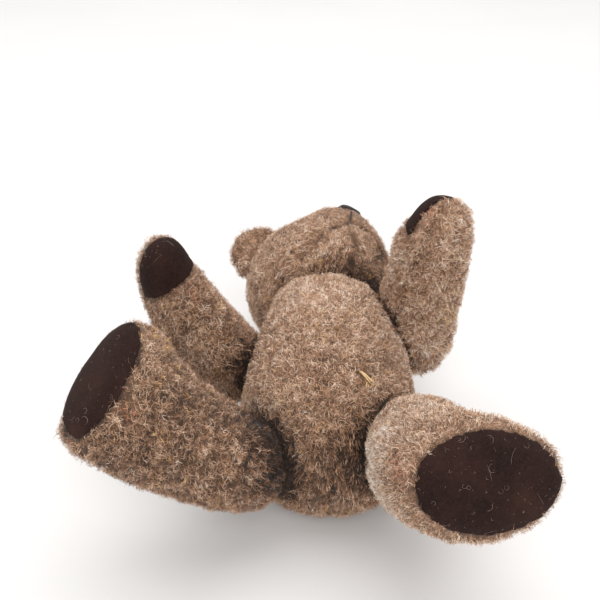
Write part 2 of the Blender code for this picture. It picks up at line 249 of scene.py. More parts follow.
print("CAD points to cover:", sum(len(read_points(node.data)) for node in nodes.values()))

# %% Fuse each part's solids
CLOTH_GRID, EAR_GRID = 4.0 * MM, 2.5 * MM
PLUG_SIDES, PLUG_RADIUS, PLUG_DEPTH, PLUG_INSIDE = 12, 4 * MM, 8 * MM, 5 * MM
SAME_PLACE, SMOOTHINGS, SMOOTHED = 0.01 * MM, 2, 0.5


def joint_line(joint):
    """Where a joint turns, and the direction out of the torso."""
    return np.array(joint["pos_m"]), np.array(joint["axis"])


def fused_form(name, parts, grid, plugs=()):
    """One closed outer form round some CAD nodes. Plugs close the pin holes first."""
    joined = bmesh.new()
    for part in parts:
        joined.from_mesh(nodes[part].data)
    for place, inward in plugs:
        turn = Vector(inward).to_track_quat("Z", "Y").to_matrix().to_4x4()
        turn.translation = Vector(place) + PLUG_INSIDE * Vector(inward)
        shape = {"segments": PLUG_SIDES, "radius1": PLUG_RADIUS, "radius2": PLUG_RADIUS, "depth": PLUG_DEPTH}
        bmesh.ops.create_cone(joined, cap_ends=True, matrix=turn, **shape)
    bmesh.ops.remove_doubles(joined, verts=joined.verts, dist=SAME_PLACE)
    mesh = bpy.data.meshes.new(name)
    joined.to_mesh(mesh)
    joined.free()
    piece = placed(name, mesh)
    remesh = piece.modifiers.new("remesh", "REMESH")
    remesh.mode, remesh.voxel_size = "VOXEL", grid
    piece.data = baked_mesh(piece, name)
    keep_outside(piece.data)
    return piece


def keep_outside(mesh):
    """Keeps the largest closed part and softens the steps of the voxel grid."""
    work = bmesh.new()
    work.from_mesh(mesh)
    groups, seen = [], set()
    for start in work.verts:
        if start in seen:
            continue
        group, todo = [], [start]
        seen.add(start)
        while todo:
            vert = todo.pop()
            group.append(vert)
            fresh = [other for other in (edge.other_vert(vert) for edge in vert.link_edges) if other not in seen]
            seen.update(fresh)
            todo += fresh
        groups.append(group)
    groups.sort(key=len)
    for group in groups[:-1]:
        bmesh.ops.delete(work, geom=group, context="VERTS")
    every_way = {"use_axis_" + axis: True for axis in "xyz"}
    for _ in range(SMOOTHINGS):
        bmesh.ops.smooth_vert(work, verts=work.verts, factor=SMOOTHED, **every_way)
    bmesh.ops.recalc_face_normals(work, faces=work.faces)
    work.to_mesh(mesh)
    work.free()


plugs = {name: [] for name in PARTS}
for joint in joints.values():
    place, outward = joint_line(joint)
    plugs[joint["parent"]].append((place, -outward))
    plugs[joint["child"]].append((place, outward))
forms = {name: fused_form(name + "_mohair_cloth", parts, CLOTH_GRID, plugs[name]) for name, parts in PARTS.items()}
forms.update({name: fused_form(name + "_mohair_cloth", parts, EAR_GRID) for name, parts in EARS.items()})
for name, form in forms.items():
    print(name, "cloth points:", len(form.data.vertices))

# %% [markdown]
# ## Seams
# A leg has a seam down its instep and one down its calf, an arm has one along each edge, the torso one down
# its back, and the head a chin gusset whose two seams meet under the mouth. The thread pulls the cloth in
# along each line, so a seam is a soft valley that parts the pile.

# %% Where the seams run
CHIN_SEAMS = (
    # the chin gusset's two seams and the dart in its middle, as lines of places in mm
    ((23, 168, 126), (-0.3, 149.1, 125.8), (-8.7, 136, 120.3), (-20, 128.5, 113.2), (-22, 117, 104)),
    ((24, 168, 126), (37.3, 165.9, 116.1), (45.7, 159.7, 105.2), (48, 148, 92)),
    ((21.4, 158, 124), (25, 148, 118), (27.5, 140, 113)),
)
FRAMES = {
    # a part's middle or its root in mm, where its length runs, and which way its front faces
    "head": ((-3.0, 158.0, 62.0), (0.301, 0.622, 0.723), (-0.204, 0.782, -0.589)),
    "leg_right": ((-64.9, -52.8, 56.6), (-0.650, -0.260, 0.711), (0.469, 0.608, 0.640)),
    "leg_left": ((54.0, -65.5, 71.8), (0.142, -0.838, 0.527), (0.989, 0.142, -0.041)),
    "arm_right": ((-72.7, 51.6, 59.1), (-0.440, -0.099, 0.892), (0.476, -0.869, 0.138)),
    "arm_left": ((65.6, 68.2, 83.1), (0.125, -0.269, 0.955), (-0.776, 0.564, 0.283)),
}
ARM_SEAM_LEVEL, BACK_SEAM_LEVEL = 4.0 * MM, 55 * MM  # towards the palm, and up from the table
GUSSET_HALF, GUSSET_TAPER, GUSSET_LEVEL = 13 * MM, 0.10, 10 * MM  # the crown's gusset narrows to the nose
NO_SEAM = 1.0


def unit(vector):
    vector = np.asarray(vector, float)
    return vector / np.maximum(np.linalg.norm(vector, axis=-1, keepdims=True), TINY)


def axes(name):
    """A part's own frame: its middle, and unit vectors across it, to its front and along it."""
    middle, along, front = FRAMES[name]
    along = unit(along)
    front = unit(np.array(front) - along * (np.array(front) @ along))
    return np.array(middle) * MM, np.stack([np.cross(front, along), front, along])


def local(name, points):
    """Points in a part's own frame: across, front and along, in metres."""
    middle, turn = axes(name)
    return (points - middle) @ turn.T


print("frames:", {name: axes(name)[1].round(2)[2].tolist() for name in FRAMES})


# %% How far each point is from a seam
def near_line(points, line):
    """Distance from each point to a line through some places given in mm."""
    gap = np.full(len(points), NO_SEAM)
    for start, end in zip(line, line[1:]):
        start, end = np.array(start) * MM, np.array(end) * MM
        way = end - start
        share = np.clip(((points - start) @ way) / (way @ way), 0, 1)
        gap = np.minimum(gap, np.linalg.norm(points - start - share[:, None] * way, axis=1))
    return gap


def chin_distance(points):
    return np.min([near_line(points, line) for line in CHIN_SEAMS], axis=0)


def from_chin(points):
    """Unit vectors that lead away from the nearest chin seam."""
    here, step = chin_distance(points), 0.5 * MM
    ways = [(chin_distance(points + step * np.eye(3)[k]) - here) / step for k in range(3)]
    return np.stack(ways, axis=1)


def seam_distance(name, points):
    """How far each point of a part is from its nearest seam."""
    if name == "torso":
        return np.where(points[:, 2] < BACK_SEAM_LEVEL, np.abs(points[:, 0]), NO_SEAM)
    if name in EARS:
        return np.full(len(points), NO_SEAM)
    across, front, along = local(name, points).T
    if name == "head":
        half = GUSSET_HALF - GUSSET_TAPER * np.clip(along, 0, 80 * MM)
        gusset = np.where(front > GUSSET_LEVEL, np.abs(np.abs(across) - half), NO_SEAM)
        return np.minimum(chin_distance(points), gusset)
    return np.abs(across) if name.startswith("leg") else np.abs(front - ARM_SEAM_LEVEL)


SEWN_HALF = 2.5 * MM
for name in PARTS:
    gap = seam_distance(name, read_points(forms[name].data))
    print(name, "points on a seam:", int((gap < SEWN_HALF).sum()))

# %% [markdown]
# ## Packing the covers
# The cloth modifier blows each cover up from inside while its seams and joint faces stay put. The swelling
# is then capped, so no cover grows into its neighbour.

# %% What stays put
FACE_HALF, FACE_RADIUS, TABLE_HOLD = 2.5 * MM, 40 * MM, 2 * MM
PAD_EDGE, PAD_FREE = 1.5 * MM, 6 * MM


def surface(*meshes):
    """A search tree over the faces of some meshes."""
    points, faces = [], []
    for mesh in meshes:
        first = len(points)
        points += [vert.co.copy() for vert in mesh.vertices]
        faces += [[first + i for i in face.vertices] for face in mesh.polygons]
    return BVHTree.FromPolygons(points, faces)


def distance(tree, points):
    return np.array([tree.find_nearest(Vector(point))[3] for point in points])


def ease(values, low, high):
    """0 up to `low`, 1 from `high`, and smooth between."""
    share = np.clip((values - low) / (high - low), 0, 1)
    return share * share * (3 - 2 * share)


def off_pads(name, points):
    """0 on a part's felt pad and 1 away from it."""
    if name not in PAD_ON:
        return np.ones(len(points))
    return ease(distance(surface(nodes[PAD_ON[name]].data), points), PAD_EDGE, PAD_FREE)


def joint_hold(name, points):
    """True for points on the flat faces where two parts meet."""
    held = np.zeros(len(points), bool)
    for joint in joints.values():
        if name in (joint["parent"], joint["child"]):
            place, outward = joint_line(joint)
            along = (points - place) @ outward
            off = np.linalg.norm(points - place - along[:, None] * outward, axis=1)
            held |= (np.abs(along) < FACE_HALF) & (off < FACE_RADIUS)
    return held


def hold(name, piece, points):
    """Puts the seams, the joint faces and what lies on the table in a group that the cloth pins."""
    held = joint_hold(name, points) | (points[:, 2] < TABLE_HOLD)
    held |= (seam_distance(name, points) < SEWN_HALF) & (off_pads(name, points) > 0.5)
    piece.vertex_groups.new(name="sewn").add([int(i) for i in np.nonzero(held)[0]], 1.0, "REPLACE")
    print(name, "points held:", int(held.sum()))


# %% Swell the cloth
STEPS, MOST_SWELL = 20, 1.4 * MM
CLOTH = {"quality": 4, "mass": 0.25, "use_pressure": True, "uniform_pressure_force": 900.0}
CLOTH.update({"tension_stiffness": 5.0, "compression_stiffness": 5.0, "vertex_group_mass": "sewn"})


def swell(pieces):
    before = {name: read_points(piece.data) for name, piece in pieces.items()}
    for name, piece in pieces.items():
        hold(name, piece, before[name])
    for piece in pieces.values():
        cloth = piece.modifiers.new("cloth", "CLOTH")
        for key, value in CLOTH.items():
            setattr(cloth.settings, key, value)
        cloth.settings.effector_weights.gravity = 0.0
        cloth.point_cache.frame_start, cloth.point_cache.frame_end = 1, STEPS
    scene = bpy.context.scene
    for step in range(1, STEPS + 1):
        scene.frame_set(step)
    graph = bpy.context.evaluated_depsgraph_get()
    for name, piece in pieces.items():
        move = read_points(piece.evaluated_get(graph).data) - before[name]
        piece.modifiers.clear()
        far = np.linalg.norm(move, axis=1, keepdims=True)
        move *= np.minimum(1.0, MOST_SWELL / np.maximum(far, TINY))
        write_points(piece.data, before[name] + move)
        print(name, "swelled by up to %.1f mm, mean %.2f" % (far.max() / MM, far.mean() / MM))
    scene.frame_set(1)


swell(forms)

# %% [markdown]
# ## Lumps, seam valleys and finer cloth
# Wood wool packs unevenly, so after one subdivision the cover gets soft lumps a thumb's width across and a
# valley along each seam. The cloth is only seen where the pile has worn away.


# %% Soft shapes
def bell(values, width):
    """1 at nought, fading smoothly over a width."""
    return np.exp(-((values / width) ** 2))


def nearness(points, middle, radius):
    """1 at a place given in mm, fading smoothly with distance."""
    return bell(np.linalg.norm(points / MM - middle, axis=1), radius)


def noises(points, size, shift=0.0):
    return np.array([noise.noise(Vector(p) / size + Vector((shift, shift, shift))) for p in points])


print("a bell at 0, 1 and 2 widths:", bell(np.array((0, 1, 2)), 1).round(3))

# %% Where the packing bulges
BULGES = {
    # where hard lumps of packing push the cloth out: middle in mm, radius in mm, rise in mm
    "head": (
        ((41, 167, 113), 15, 2.4),
        ((48, 159, 103), 13, 1.8),
        ((30, 150, 117), 8, 1.2),
        ((6, 139, 119), 10, 1.2),
        ((-57, 136, 63), 14, 1.5),
    ),
    "arm_left": (((54, 57, 168), 16, 2.2), ((50, 62, 154), 14, 1.6)),
    "arm_right": (
        ((-92, 40, 145), 9, 1.5),
        ((-81, 48, 121), 14, 1.8),
        ((-70, 57, 102), 13, 2.0),
        ((-94, 39, 60), 12, 2.6),
        ((-83, 41, 47), 11, 3.4),
        ((-70, 37, 43), 8, 2.0),
    ),
    "leg_right": (
        ((-101, -60, 150), 12, 2.6),
        ((-91, -56, 126), 14, 3.0),
        ((-80, -45, 106), 12, 2.4),
        ((-154, -98, 114), 6, 1.5),
    ),
    "leg_left": (((109, -142, 136), 8, 2.2), ((111, -154, 128), 9, 1.4), ((103, -164, 112), 9, 1.4)),
}
print("bulges:", sum(len(places) for places in BULGES.values()))

# %% Refine the covers
SEAM_DEPTH, SEAM_WIDTH, CHIN_DEPTH, CHIN_WIDTH = 1.3 * MM, 2.6 * MM, 2.0 * MM, 3.6 * MM
LUMP, LUMP_SIZE, CLUMP, CLUMP_SIZE, CLUMP_SHIFT = 0.9 * MM, 22 * MM, 0.9 * MM, 5.0 * MM, 3.0
OVER_STUFFING, LEAST_LEVEL = 0.5 * MM, 3 * MM
EAR_HOLLOW, EAR_CUP = 4.0 * MM, 0.8  # how deep, and how wide
EAR_FACING, EAR_FRONT = (0.0, -0.93, 0.25), 0.2  # which way the ear faces, and how squarely its front does


def nearest(tree, points):
    """For each point: the nearest place on a surface, its normal, and the height over it."""
    hits = [tree.find_nearest(Vector(point)) for point in points]
    places, normals = (np.array([hit[k] for hit in hits]) for k in (0, 1))
    return places, normals, ((points - places) * normals).sum(1)


def refine(name, piece, inside=None):
    piece.modifiers.new("finer", "SUBSURF").levels = 1
    piece.modifiers["finer"].render_levels = 1
    piece.data = baked_mesh(piece, piece.name)
    points, normals = read_points(piece.data), read_normals(piece.data)
    lumps = LUMP * noises(points, LUMP_SIZE)
    for middle, radius, rise in BULGES.get(name, ()):
        lumps += rise * MM * nearness(points, middle, radius)
    rough = CLUMP * noises(points, CLUMP_SIZE, CLUMP_SHIFT)
    depth = SEAM_DEPTH * bell(seam_distance(name, points), SEAM_WIDTH)
    if name == "head":
        depth += CHIN_DEPTH * bell(chin_distance(points), CHIN_WIDTH)
    free = ~joint_hold(name, points) & (points[:, 2] > LEAST_LEVEL)
    points += normals * (np.where(free, lumps + (rough - depth) * off_pads(name, points), 0.0))[:, None]
    if name in EARS:
        front = unit(np.array(EAR_FACING) @ axes("head")[1])
        middle = points.mean(axis=0)
        rest = (points - middle) - ((points - middle) @ front)[:, None] * front
        share = np.linalg.norm(rest, axis=1) / np.linalg.norm(rest, axis=1).max()
        cup = np.clip(1 - (share / EAR_CUP) ** 2, 0, 1) * (normals @ front > EAR_FRONT)
        points -= front * (EAR_HOLLOW * cup)[:, None]
    if inside is not None:
        places, outward, height = nearest(inside, points)
        low = height < OVER_STUFFING
        points[low] = places[low] + outward[low] * OVER_STUFFING
    write_points(piece.data, points)
    piece.data.shade_smooth()


for name, form in forms.items():
    stuffing = [nodes[node].data for node in PARTS.get(name, []) if node.endswith("_stuffing")]
    refine(name, form, surface(*stuffing) if stuffing else None)
    print(name, "cloth faces:", len(form.data.polygons))

# %% [markdown]
# ## Mohair cloth
# Mohair plush is woven on a cotton ground. On an old bear the roots of the pile have felted into a mat that
# hides the weave except where it has rubbed through: fine curled fibres. Their hollows are painted dark and
# their tops paler, as painted shade and light, and the creases between parts carry painted shade too. The
# fibres are 0.05 mm thick, drawn about 0.5 mm thick here so that they show at all.

# %% Cloth material
FIBRE_PERIOD, WARP_SIZE, WARP_REACH, UNDERCOAT_RISE = 1.6 * MM, 3.5 * MM, 2.2 * MM, 0.9 * MM
# from dark to light: the darkest tones are painted shade, in the fibres' hollows and in the creases
UNDERCOAT = ((0.0, "#241811"), (0.22, "#5c4433"), (0.45, "#96735b"), (0.70, "#c8a68a"), (1.0, "#ead2bc"))


def felted_undercoat():
    """Mohair roots felted by years of handling: curled fibres with painted shade between and painted light on top."""
    material, tree, where = new_material("mohair_undercoat_felted", Roughness=0.95, Sheen_Weight=0.1)
    swirl = add(tree, NOISE, {"Vector": where, "Scale": 1 / WARP_SIZE, "Detail": 1.0}, out="Color")
    swirl = add(tree, VECTOR, swirl, (0.5, 0.5, 0.5), operation="SUBTRACT")
    swirl = add(tree, VECTOR, swirl, {"Scale": 2 * WARP_REACH}, operation="SCALE")
    curled = add(tree, VECTOR, where, swirl, operation="ADD")
    ridges = {"Vector": curled, "Scale": 1 / FIBRE_PERIOD, "Detail": 3.0, "Roughness": 0.65}
    fibres = add(tree, NOISE, ridges, noise_type="RIDGED_MULTIFRACTAL")
    fine = add(tree, NOISE, {"Vector": curled, "Scale": 1500.0, "Detail": 2.0})
    fibres = add(tree, "MULTIPLY", fibres, 0.75)
    mat = add(tree, "MULTIPLY_ADD", fine, 0.25, fibres)
    # the 'undercoat' layer brings the pile's tone, with its painted shade of creases, seams and folds
    shade = add(tree, "ShaderNodeAttribute", attribute_name="undercoat", out="Fac")
    # painted shade and light: the fibres' hollows are darker and their tops lighter, as the bump rises
    tone = add(tree, "MULTIPLY_ADD", mat, 0.6, -0.24)
    tone = add(tree, "ADD", shade, tone)
    finish_with(tree, add(tree, RAMP, tone, stops=UNDERCOAT), mat, UNDERCOAT_RISE)
    return material


cloth_material = felted_undercoat()
print("cloth material:", cloth_material.name)

# %% Cover the forms and measure the gaps between parts
GAP_REACH, FAR = 30 * MM, 1.0
trees = {name: surface(form.data) for name, form in forms.items()}


def clearance(name, points):
    """How far each point is from the nearest other part, up to a reach."""
    gap = np.full(len(points), FAR)
    for other, tree in trees.items():
        if BODY_OF[other] != BODY_OF[name]:
            hits = [tree.find_nearest(Vector(point), GAP_REACH)[3] for point in points]
            gap = np.minimum(gap, [FAR if hit is None else hit for hit in hits])
    return gap


gaps = {}
for name, form in forms.items():
    dress(form.data, cloth_material)
    gaps[name] = clearance(name, read_points(form.data))
    print(name, "points in a crease:", int((gaps[name] < 2 * MM).sum()))

# %% [markdown]
# ## Felt pads
# The soles and the paws are dark brown wool felt, cut to an oval and sewn in edge to edge. Felt has no
# weave: it is matted fibre, with a nap a few tenths of a millimetre deep that catches dust and lint.

# %% Felt material
FELT_NAP = 0.35 * MM


def felt():
    """Wool felt: fibre wetted, rolled and pressed, dyed dark brown, now dusty and dotted with lint."""
    sheen = {"Sheen_Weight": 0.06, "Sheen_Roughness": 0.6, "Sheen_Tint": linear("#8a6a5e")}
    material, tree, where = new_material("wool_felt_pressed_dusty", Roughness=0.95, Specular_IOR_Level=0.17, **sheen)
    worn = add(tree, NOISE, {"Vector": where, "Scale": 45.0, "Detail": 4.0})
    matted = add(tree, NOISE, {"Vector": where, "Scale": 650.0, "Detail": 4.0, "Distortion": 1.5})
    specks = add(tree, "ShaderNodeTexVoronoi", {"Vector": where, "Scale": 420.0}, out="Distance")
    browns = ((0.35, "#170c0a"), (0.55, "#20120f"), (0.75, "#2e1c17"))
    colour = add(tree, RAMP, worn, stops=browns)
    dusty = add(tree, RAMP, matted, stops=((0.40, "#000000"), (0.70, "#ffffff")))
    dusty = add(tree, "MULTIPLY", dusty, 0.38)
    colour = add(tree, MIX, {0: dusty, 6: colour, 7: "#3e2824"}, out=2, data_type="RGBA")
    specks = add(tree, "LESS_THAN", specks, 0.10)
    raised = add(tree, "GREATER_THAN", matted, 0.55)
    lint = add(tree, "MULTIPLY", specks, raised)
    lint = add(tree, "MULTIPLY", lint, 0.5)
    colour = add(tree, MIX, {0: lint, 6: colour, 7: "#8d7a70"}, out=2, data_type="RGBA")
    finish_with(tree, colour, matted, FELT_NAP)
    return material


felt_material = felt()
print("felt material:", felt_material.name)

# %% Lay the pads on the cloth
FELT_GRID, FELT_RISE, FELT_EDGE = 1.6 * MM, 0.9 * MM, 0.4
# the cloth at the right heel has rolled over the end of its pad: where in mm, how far round it, how far in
HEEL_ROLL = ((-156.0, -99.5, 114.5), 13.0, 6.5)
# the right paw's pad reaches round the tip: how far it moves in mm, and how much wider it is
PAW_REACH, PAW_SPREAD = (-3.6, -0.4, 4.6), 1.20


def fitted(name, points):
    """Two of the pads don't lie as they were cut: each is drawn along with the cloth round it."""
    middle = points.mean(axis=0)
    if name == "foot_pad_right":
        heel, radius, roll = HEEL_ROLL
        inward = unit(middle - np.array(heel) * MM)
        return points + nearness(points, heel, radius)[:, None] * inward * roll * MM
    if name == "paw_pad_right":
        return middle + (points - middle) * PAW_SPREAD + np.array(PAW_REACH) * MM
    return points


def laid_on(piece, tree, rise):
    """Lays a thin closed piece on a surface: its outer face over it and its inner face under it."""
    points, normals = read_points(piece.data), read_normals(piece.data)
    places, outward, _ = nearest(tree, points)
    facing = np.clip((normals * outward).sum(1) / FELT_EDGE, -1, 1)
    write_points(piece.data, places + outward * (rise * facing)[:, None])


pads = {}
for name, body in PADS.items():
    pad = pads[name] = fused_form(name + "_felt", [name], FELT_GRID)
    write_points(pad.data, fitted(name, read_points(pad.data)))
    laid_on(pad, trees[body], FELT_RISE)
    pad.data.shade_smooth()
    dress(pad.data, felt_material)
    print(pad.name, "faces:", len(pad.data.polygons))

# %% [markdown]
# ## Thread, stitches and straw
# The nose is worked in satin stitch: thick threads laid side by side over a small pad. The mouth is one
# short line under it. Both are threads that follow lines on the cloth, and so are the wisps of wood wool
# that poke out where the cloth has worn through, and the stray hairs on the pads. One Geometry Nodes tree
# turns any lines into round threads.


# %% A tree that lays thread on lines
def new_tree(name, **inputs):
    """An empty Geometry Nodes tree with named inputs, and a geometry output."""
    tree = bpy.data.node_groups.new(name, "GeometryNodeTree")
    for title, kind in {"Geometry": "Geometry", **inputs}.items():
        tree.interface.new_socket(title, in_out="INPUT", socket_type="NodeSocket" + kind)
    tree.interface.new_socket("Geometry", in_out="OUTPUT", socket_type="NodeSocketGeometry")
    return tree, tree.nodes.new("NodeGroupInput").outputs


def run_tree(piece, tree, settings, name):
    """Puts a tree on a piece, sets its inputs by their identifiers, and returns the plain mesh."""
    modifier = piece.modifiers.new(tree.name, "NODES")
    modifier.node_group = tree
    for item in tree.interface.items_tree:
        if item.in_out == "INPUT" and item.name in settings:
            modifier[item.identifier] = settings[item.name]
    return baked_mesh(piece, name)


def thread_tree():
    tree, given = new_tree("thread_on_lines", Thickness="Float", Sides="Int", Material="Material")
    lines = add(tree, "GeometryNodeMeshToCurve", given["Geometry"])
    ring = add(tree, "GeometryNodeCurvePrimitiveCircle", {"Resolution": given["Sides"]}, out="Curve")
    taper = add(tree, "GeometryNodeInputNamedAttribute", {"Name": "taper"}, data_type="FLOAT")
    wide = add(tree, "MULTIPLY", given["Thickness"], taper)
    sized = add(tree, "GeometryNodeSetCurveRadius", {"Curve": lines, "Radius": wide})
    profile = {"Curve": sized, "Profile Curve": ring, "Fill Caps": True, "Scale": wide}
    rounded = add(tree, "GeometryNodeCurveToMesh", profile)
    smooth = add(tree, "GeometryNodeSetShadeSmooth", rounded)
    real = add(tree, "GeometryNodeRealizeInstances", smooth)
    done = add(tree, "GeometryNodeSetMaterial", {"Geometry": real, "Material": given["Material"]})
    add(tree, "NodeGroupOutput", done)
    return tree


laying = thread_tree()
print("tree:", laying.name, "nodes:", len(laying.nodes))

# %% Threads
TAPER_END, TAPER_SLOPE = 0.35, 4.0  # how wide a thread's end is, and how fast it reaches its full width


def paint_layer(mesh, name, values):
    """Paints one number, or one vector, on each point of a mesh."""
    kind, key = ("FLOAT", "value") if values.ndim == 1 else ("FLOAT_VECTOR", "vector")
    layer = mesh.attributes.new(name, kind, "POINT")
    layer.data.foreach_set(key, values.astype(np.float32).ravel())


def drop_layers(mesh, names):
    """Takes away the painted layers that have done their work."""
    for name in [layer.name for layer in mesh.attributes if layer.name in names]:
        mesh.attributes.remove(mesh.attributes[name])


def threads(name, lines, thickness, material, sides=6):
    """Threads along lines of points in metres; each thins out at both ends."""
    starts = np.cumsum([0] + [len(line) for line in lines[:-1]])
    edges = [(int(first + i), int(first + i + 1)) for first, line in zip(starts, lines) for i in range(len(line) - 1)]
    base = bpy.data.meshes.new(name)
    base.from_pydata([tuple(point) for line in lines for point in line], edges, [])
    share = np.concatenate([np.linspace(0, 1, len(line)) for line in lines])
    width = np.clip(TAPER_END + TAPER_SLOPE * np.minimum(share, 1 - share), 0, 1)
    paint_layer(base, "taper", width)
    piece = placed(name, base)
    settings = {"Thickness": thickness / 2, "Sides": sides, "Material": material}
    piece.data = run_tree(piece, laying, settings, name)
    drop_layers(piece.data, ("taper",))
    print(name, "threads:", len(lines), "faces:", len(piece.data.polygons))
    return piece


# %% Thread and straw materials
def stranded(name, colours, roughness, twist, rise, **sockets):
    """A fibre that is drawn out or twisted: fine streaks and a slightly uneven colour."""
    material, tree, where = new_material(name, Roughness=roughness, **sockets)
    streaks = add(tree, NOISE, {"Vector": where, "Scale": 1 / twist, "Detail": 3.0})
    broad = add(tree, NOISE, {"Vector": where, "Scale": 120.0, "Detail": 2.0})
    half = add(tree, "MULTIPLY", streaks, 0.5)
    both = add(tree, "MULTIPLY_ADD", broad, 0.5, half)
    uneven = add(tree, RAMP, both, stops=tuple(zip((0.3, 0.5, 0.7), colours)))
    finish_with(tree, uneven, streaks, rise)
    return material


# Pearl cotton: a soft black two-ply thread, worn grey on its high spots; the plies are 0.5 mm apart.
pearl_cotton = stranded("pearl_cotton_twisted_black", ("#1d1615", "#2c2321", "#564a46"), 0.7, 0.5 * MM, 0.15 * MM)
# Wood wool: shavings of pale softwood, glossy along the grain and gone golden with age.
wood_wool = stranded("wood_wool_softwood_shavings", ("#b08c5a", "#d6b684", "#ecd8b0"), 0.5, 0.8 * MM, 0.1 * MM)
# Stray mohair: single hairs and lint, paler than the pile because they lie on dark felt.
lint_hair = stranded("mohair_lint_loose_pale", ("#5e4c45", "#7f6b62", "#a8978d"), 0.6, 2.0 * MM, 0.02 * MM)
print("fibres:", pearl_cotton.name, wood_wool.name, lint_hair.name)

# %% [markdown]
# ## Straw and lint
# A pinch of wood wool has worked its way out through the worn belly, and a few longer wisps lie along the
# outside of one arm. Loose hairs and lint cling to the felt. Each wisp walks over the surface in small
# steps and turns a little at each one.

# %% Wisps that lie on a surface
WISP_STEPS = 9


def wisp(tree, place, way, length, curl, rise):
    """Points of a fibre of some length that curls by an angle as it lies on a surface."""
    at, way, points = np.array(place, float), unit(way), []
    for _ in range(WISP_STEPS):
        places, outward, _ = nearest(tree, at[None])
        spot, out = places[0], outward[0]
        points.append(spot + out * rise)
        way = unit(way - out * (way @ out))
        way = unit(way + np.cross(out, way) * curl / WISP_STEPS)
        at = spot + way * length / WISP_STEPS
    return points


# %% Straw
STRAW_RISE = 2.3 * MM
STRAW = {
    # part, middle in mm, way, scatter in mm, fan, lengths in mm, curl, count, seed of the draws, thickness
    "belly_straw_wisps": ("torso", (17.5, -29, 108), (0.75, -0.6, -0.3), 0.4, 0.05, (9, 12), 0.3, 3, 3, 1.1 * MM),
    "arm_straw_wisps": ("arm_left", (84, 36, 124), (0.2, 0.35, -0.95), 1.8, 0.3, (14, 30), 0.6, 4, 5, 0.45 * MM),
}
wisps = {}
for name, (part, middle, way, scatter, fan, lengths, curl, count, seed, thick) in STRAW.items():
    rng, lines = np.random.default_rng(seed), []
    for _ in range(count):
        start = np.array(middle) * MM + rng.normal(0, scatter, 3) * MM
        lean = unit(way) + rng.normal(0, fan, 3)
        length, bend = rng.uniform(*lengths) * MM, rng.normal(0, curl)
        lines.append(wisp(trees[part], start, lean, length, bend, STRAW_RISE * rng.uniform(0.8, 1.2)))
    wisps[name] = (part, "wood_wool", threads(name, lines, thick, wood_wool, 4))

# %% Lint on the felt
LINT = {"foot_pad_left": 64, "foot_pad_right": 36, "paw_pad_left": 8, "paw_pad_right": 18}
LINT_SEED, LINT_RISE, LINT_THICKNESS, PAD_FACING = 40, 0.12 * MM, 0.14 * MM, 0.6
HAIR_MM, FLECK_MM, STRAIGHT_CURL, LINT_CURL = (5, 11), (0.5, 3.0), 0.4, 4.5
for seed, (pad, count) in enumerate(LINT.items()):
    rng, lines = np.random.default_rng(LINT_SEED + seed), []
    points, normals = read_points(pads[pad].data), read_normals(pads[pad].data)
    outer = points[normals @ axes(PADS[pad])[1][2] > PAD_FACING]
    tree = surface(pads[pad].data)
    for n in range(count):
        # every fourth is a hair and the rest are flecks; the first hair is nearly straight
        length = rng.uniform(*(FLECK_MM if n % 4 else HAIR_MM))
        curl = rng.normal(0, LINT_CURL if n else STRAIGHT_CURL)
        lines.append(wisp(tree, outer[rng.integers(len(outer))], rng.normal(size=3), length * MM, curl, LINT_RISE))
    wisps[pad + "_lint"] = (PADS[pad], "mohair", threads(pad + "_lint", lines, LINT_THICKNESS, lint_hair, 3))

# %% [markdown]
# ## Face
# Boot buttons are turned and lacquered black: a low dome with a rolled rim on a wire shank. A dome is one
# profile spun round. The buttons, the nose and the mouth sit where a line out of the head meets the cloth.


# %% Places on the face
def skin_place(name, direction):
    """Where a line from the middle of a part, along a direction in its own frame, leaves the cloth."""
    middle, turn = axes(name)
    way = unit(np.array(direction) @ turn)
    place, outward, _, _ = trees[name].ray_cast(Vector(middle + way * 0.15), Vector(-way))
    return np.array(place), np.array(outward)


def stand(direction):
    """A frame on the head's skin: its place, and across, up and out as the rows of an array."""
    place, outward = skin_place("head", direction)
    out, crown = unit(outward), np.array(FRAMES["head"][2])
    up = unit(crown - out * (crown @ out))
    return place, np.stack([np.cross(up, out), up, out])


def over_skin(points, rise):
    """Moves points out to a height over the head's cloth."""
    places, outward, _ = nearest(trees["head"], points)
    return places + outward * np.reshape(rise, (-1, 1))


print("end of the snout, mm:", (skin_place("head", (0, 0, 1))[0] / MM).round(1))


# %% A shape spun round its axis
def lathe(name, profile, place, turn, steps):
    """A closed shape spun round its own axis from (radius, height) pairs."""
    work = bmesh.new()
    rings = []
    for radius, height in profile:
        angles = [2 * math.pi * k / steps for k in range(steps)] if radius else [0.0]
        round_ = [(radius * math.cos(angle), radius * math.sin(angle), height) for angle in angles]
        rings.append([work.verts.new(place + np.array(point) @ turn) for point in round_])
    for low, high in zip(rings, rings[1:]):
        for k in range(steps):
            n = (k + 1) % steps
            corners = [low[k % len(low)], low[n % len(low)], high[n % len(high)], high[k % len(high)]]
            work.faces.new(list(dict.fromkeys(corners)))
    bmesh.ops.recalc_face_normals(work, faces=work.faces)
    mesh = bpy.data.meshes.new(name)
    work.to_mesh(mesh)
    work.free()
    mesh.shade_smooth()
    return placed(name, mesh)


# %% Button eyes
EYE_RADIUS, EYE_DOME, EYE_RIM, EYE_STEPS = 6.0 * MM, 5.6 * MM, 1.2 * MM, 28
SHANK_RADIUS, SHANK_DEPTH, EYE_SIDE, EYE_UP = 0.8 * MM, -6 * MM, 0.42, 0.42


def lacquer():
    """Lacquered wood, turned and polished: black, glossy, and finely scratched and dusty with age."""
    material, tree, where = new_material("boot_button_lacquered_black", Coat_Weight=0.4)
    dust = add(tree, NOISE, {"Vector": where, "Scale": 500.0, "Detail": 5.0})
    gloss = add(tree, "MULTIPLY", dust, 0.35)
    tree.links.new(gloss, tree.nodes["Principled BSDF"].inputs["Roughness"])
    colour = add(tree, RAMP, dust, stops=((0.45, "#120d0b"), (0.75, "#2a211c")))
    finish_with(tree, colour, dust, 0.02 * MM)
    return material


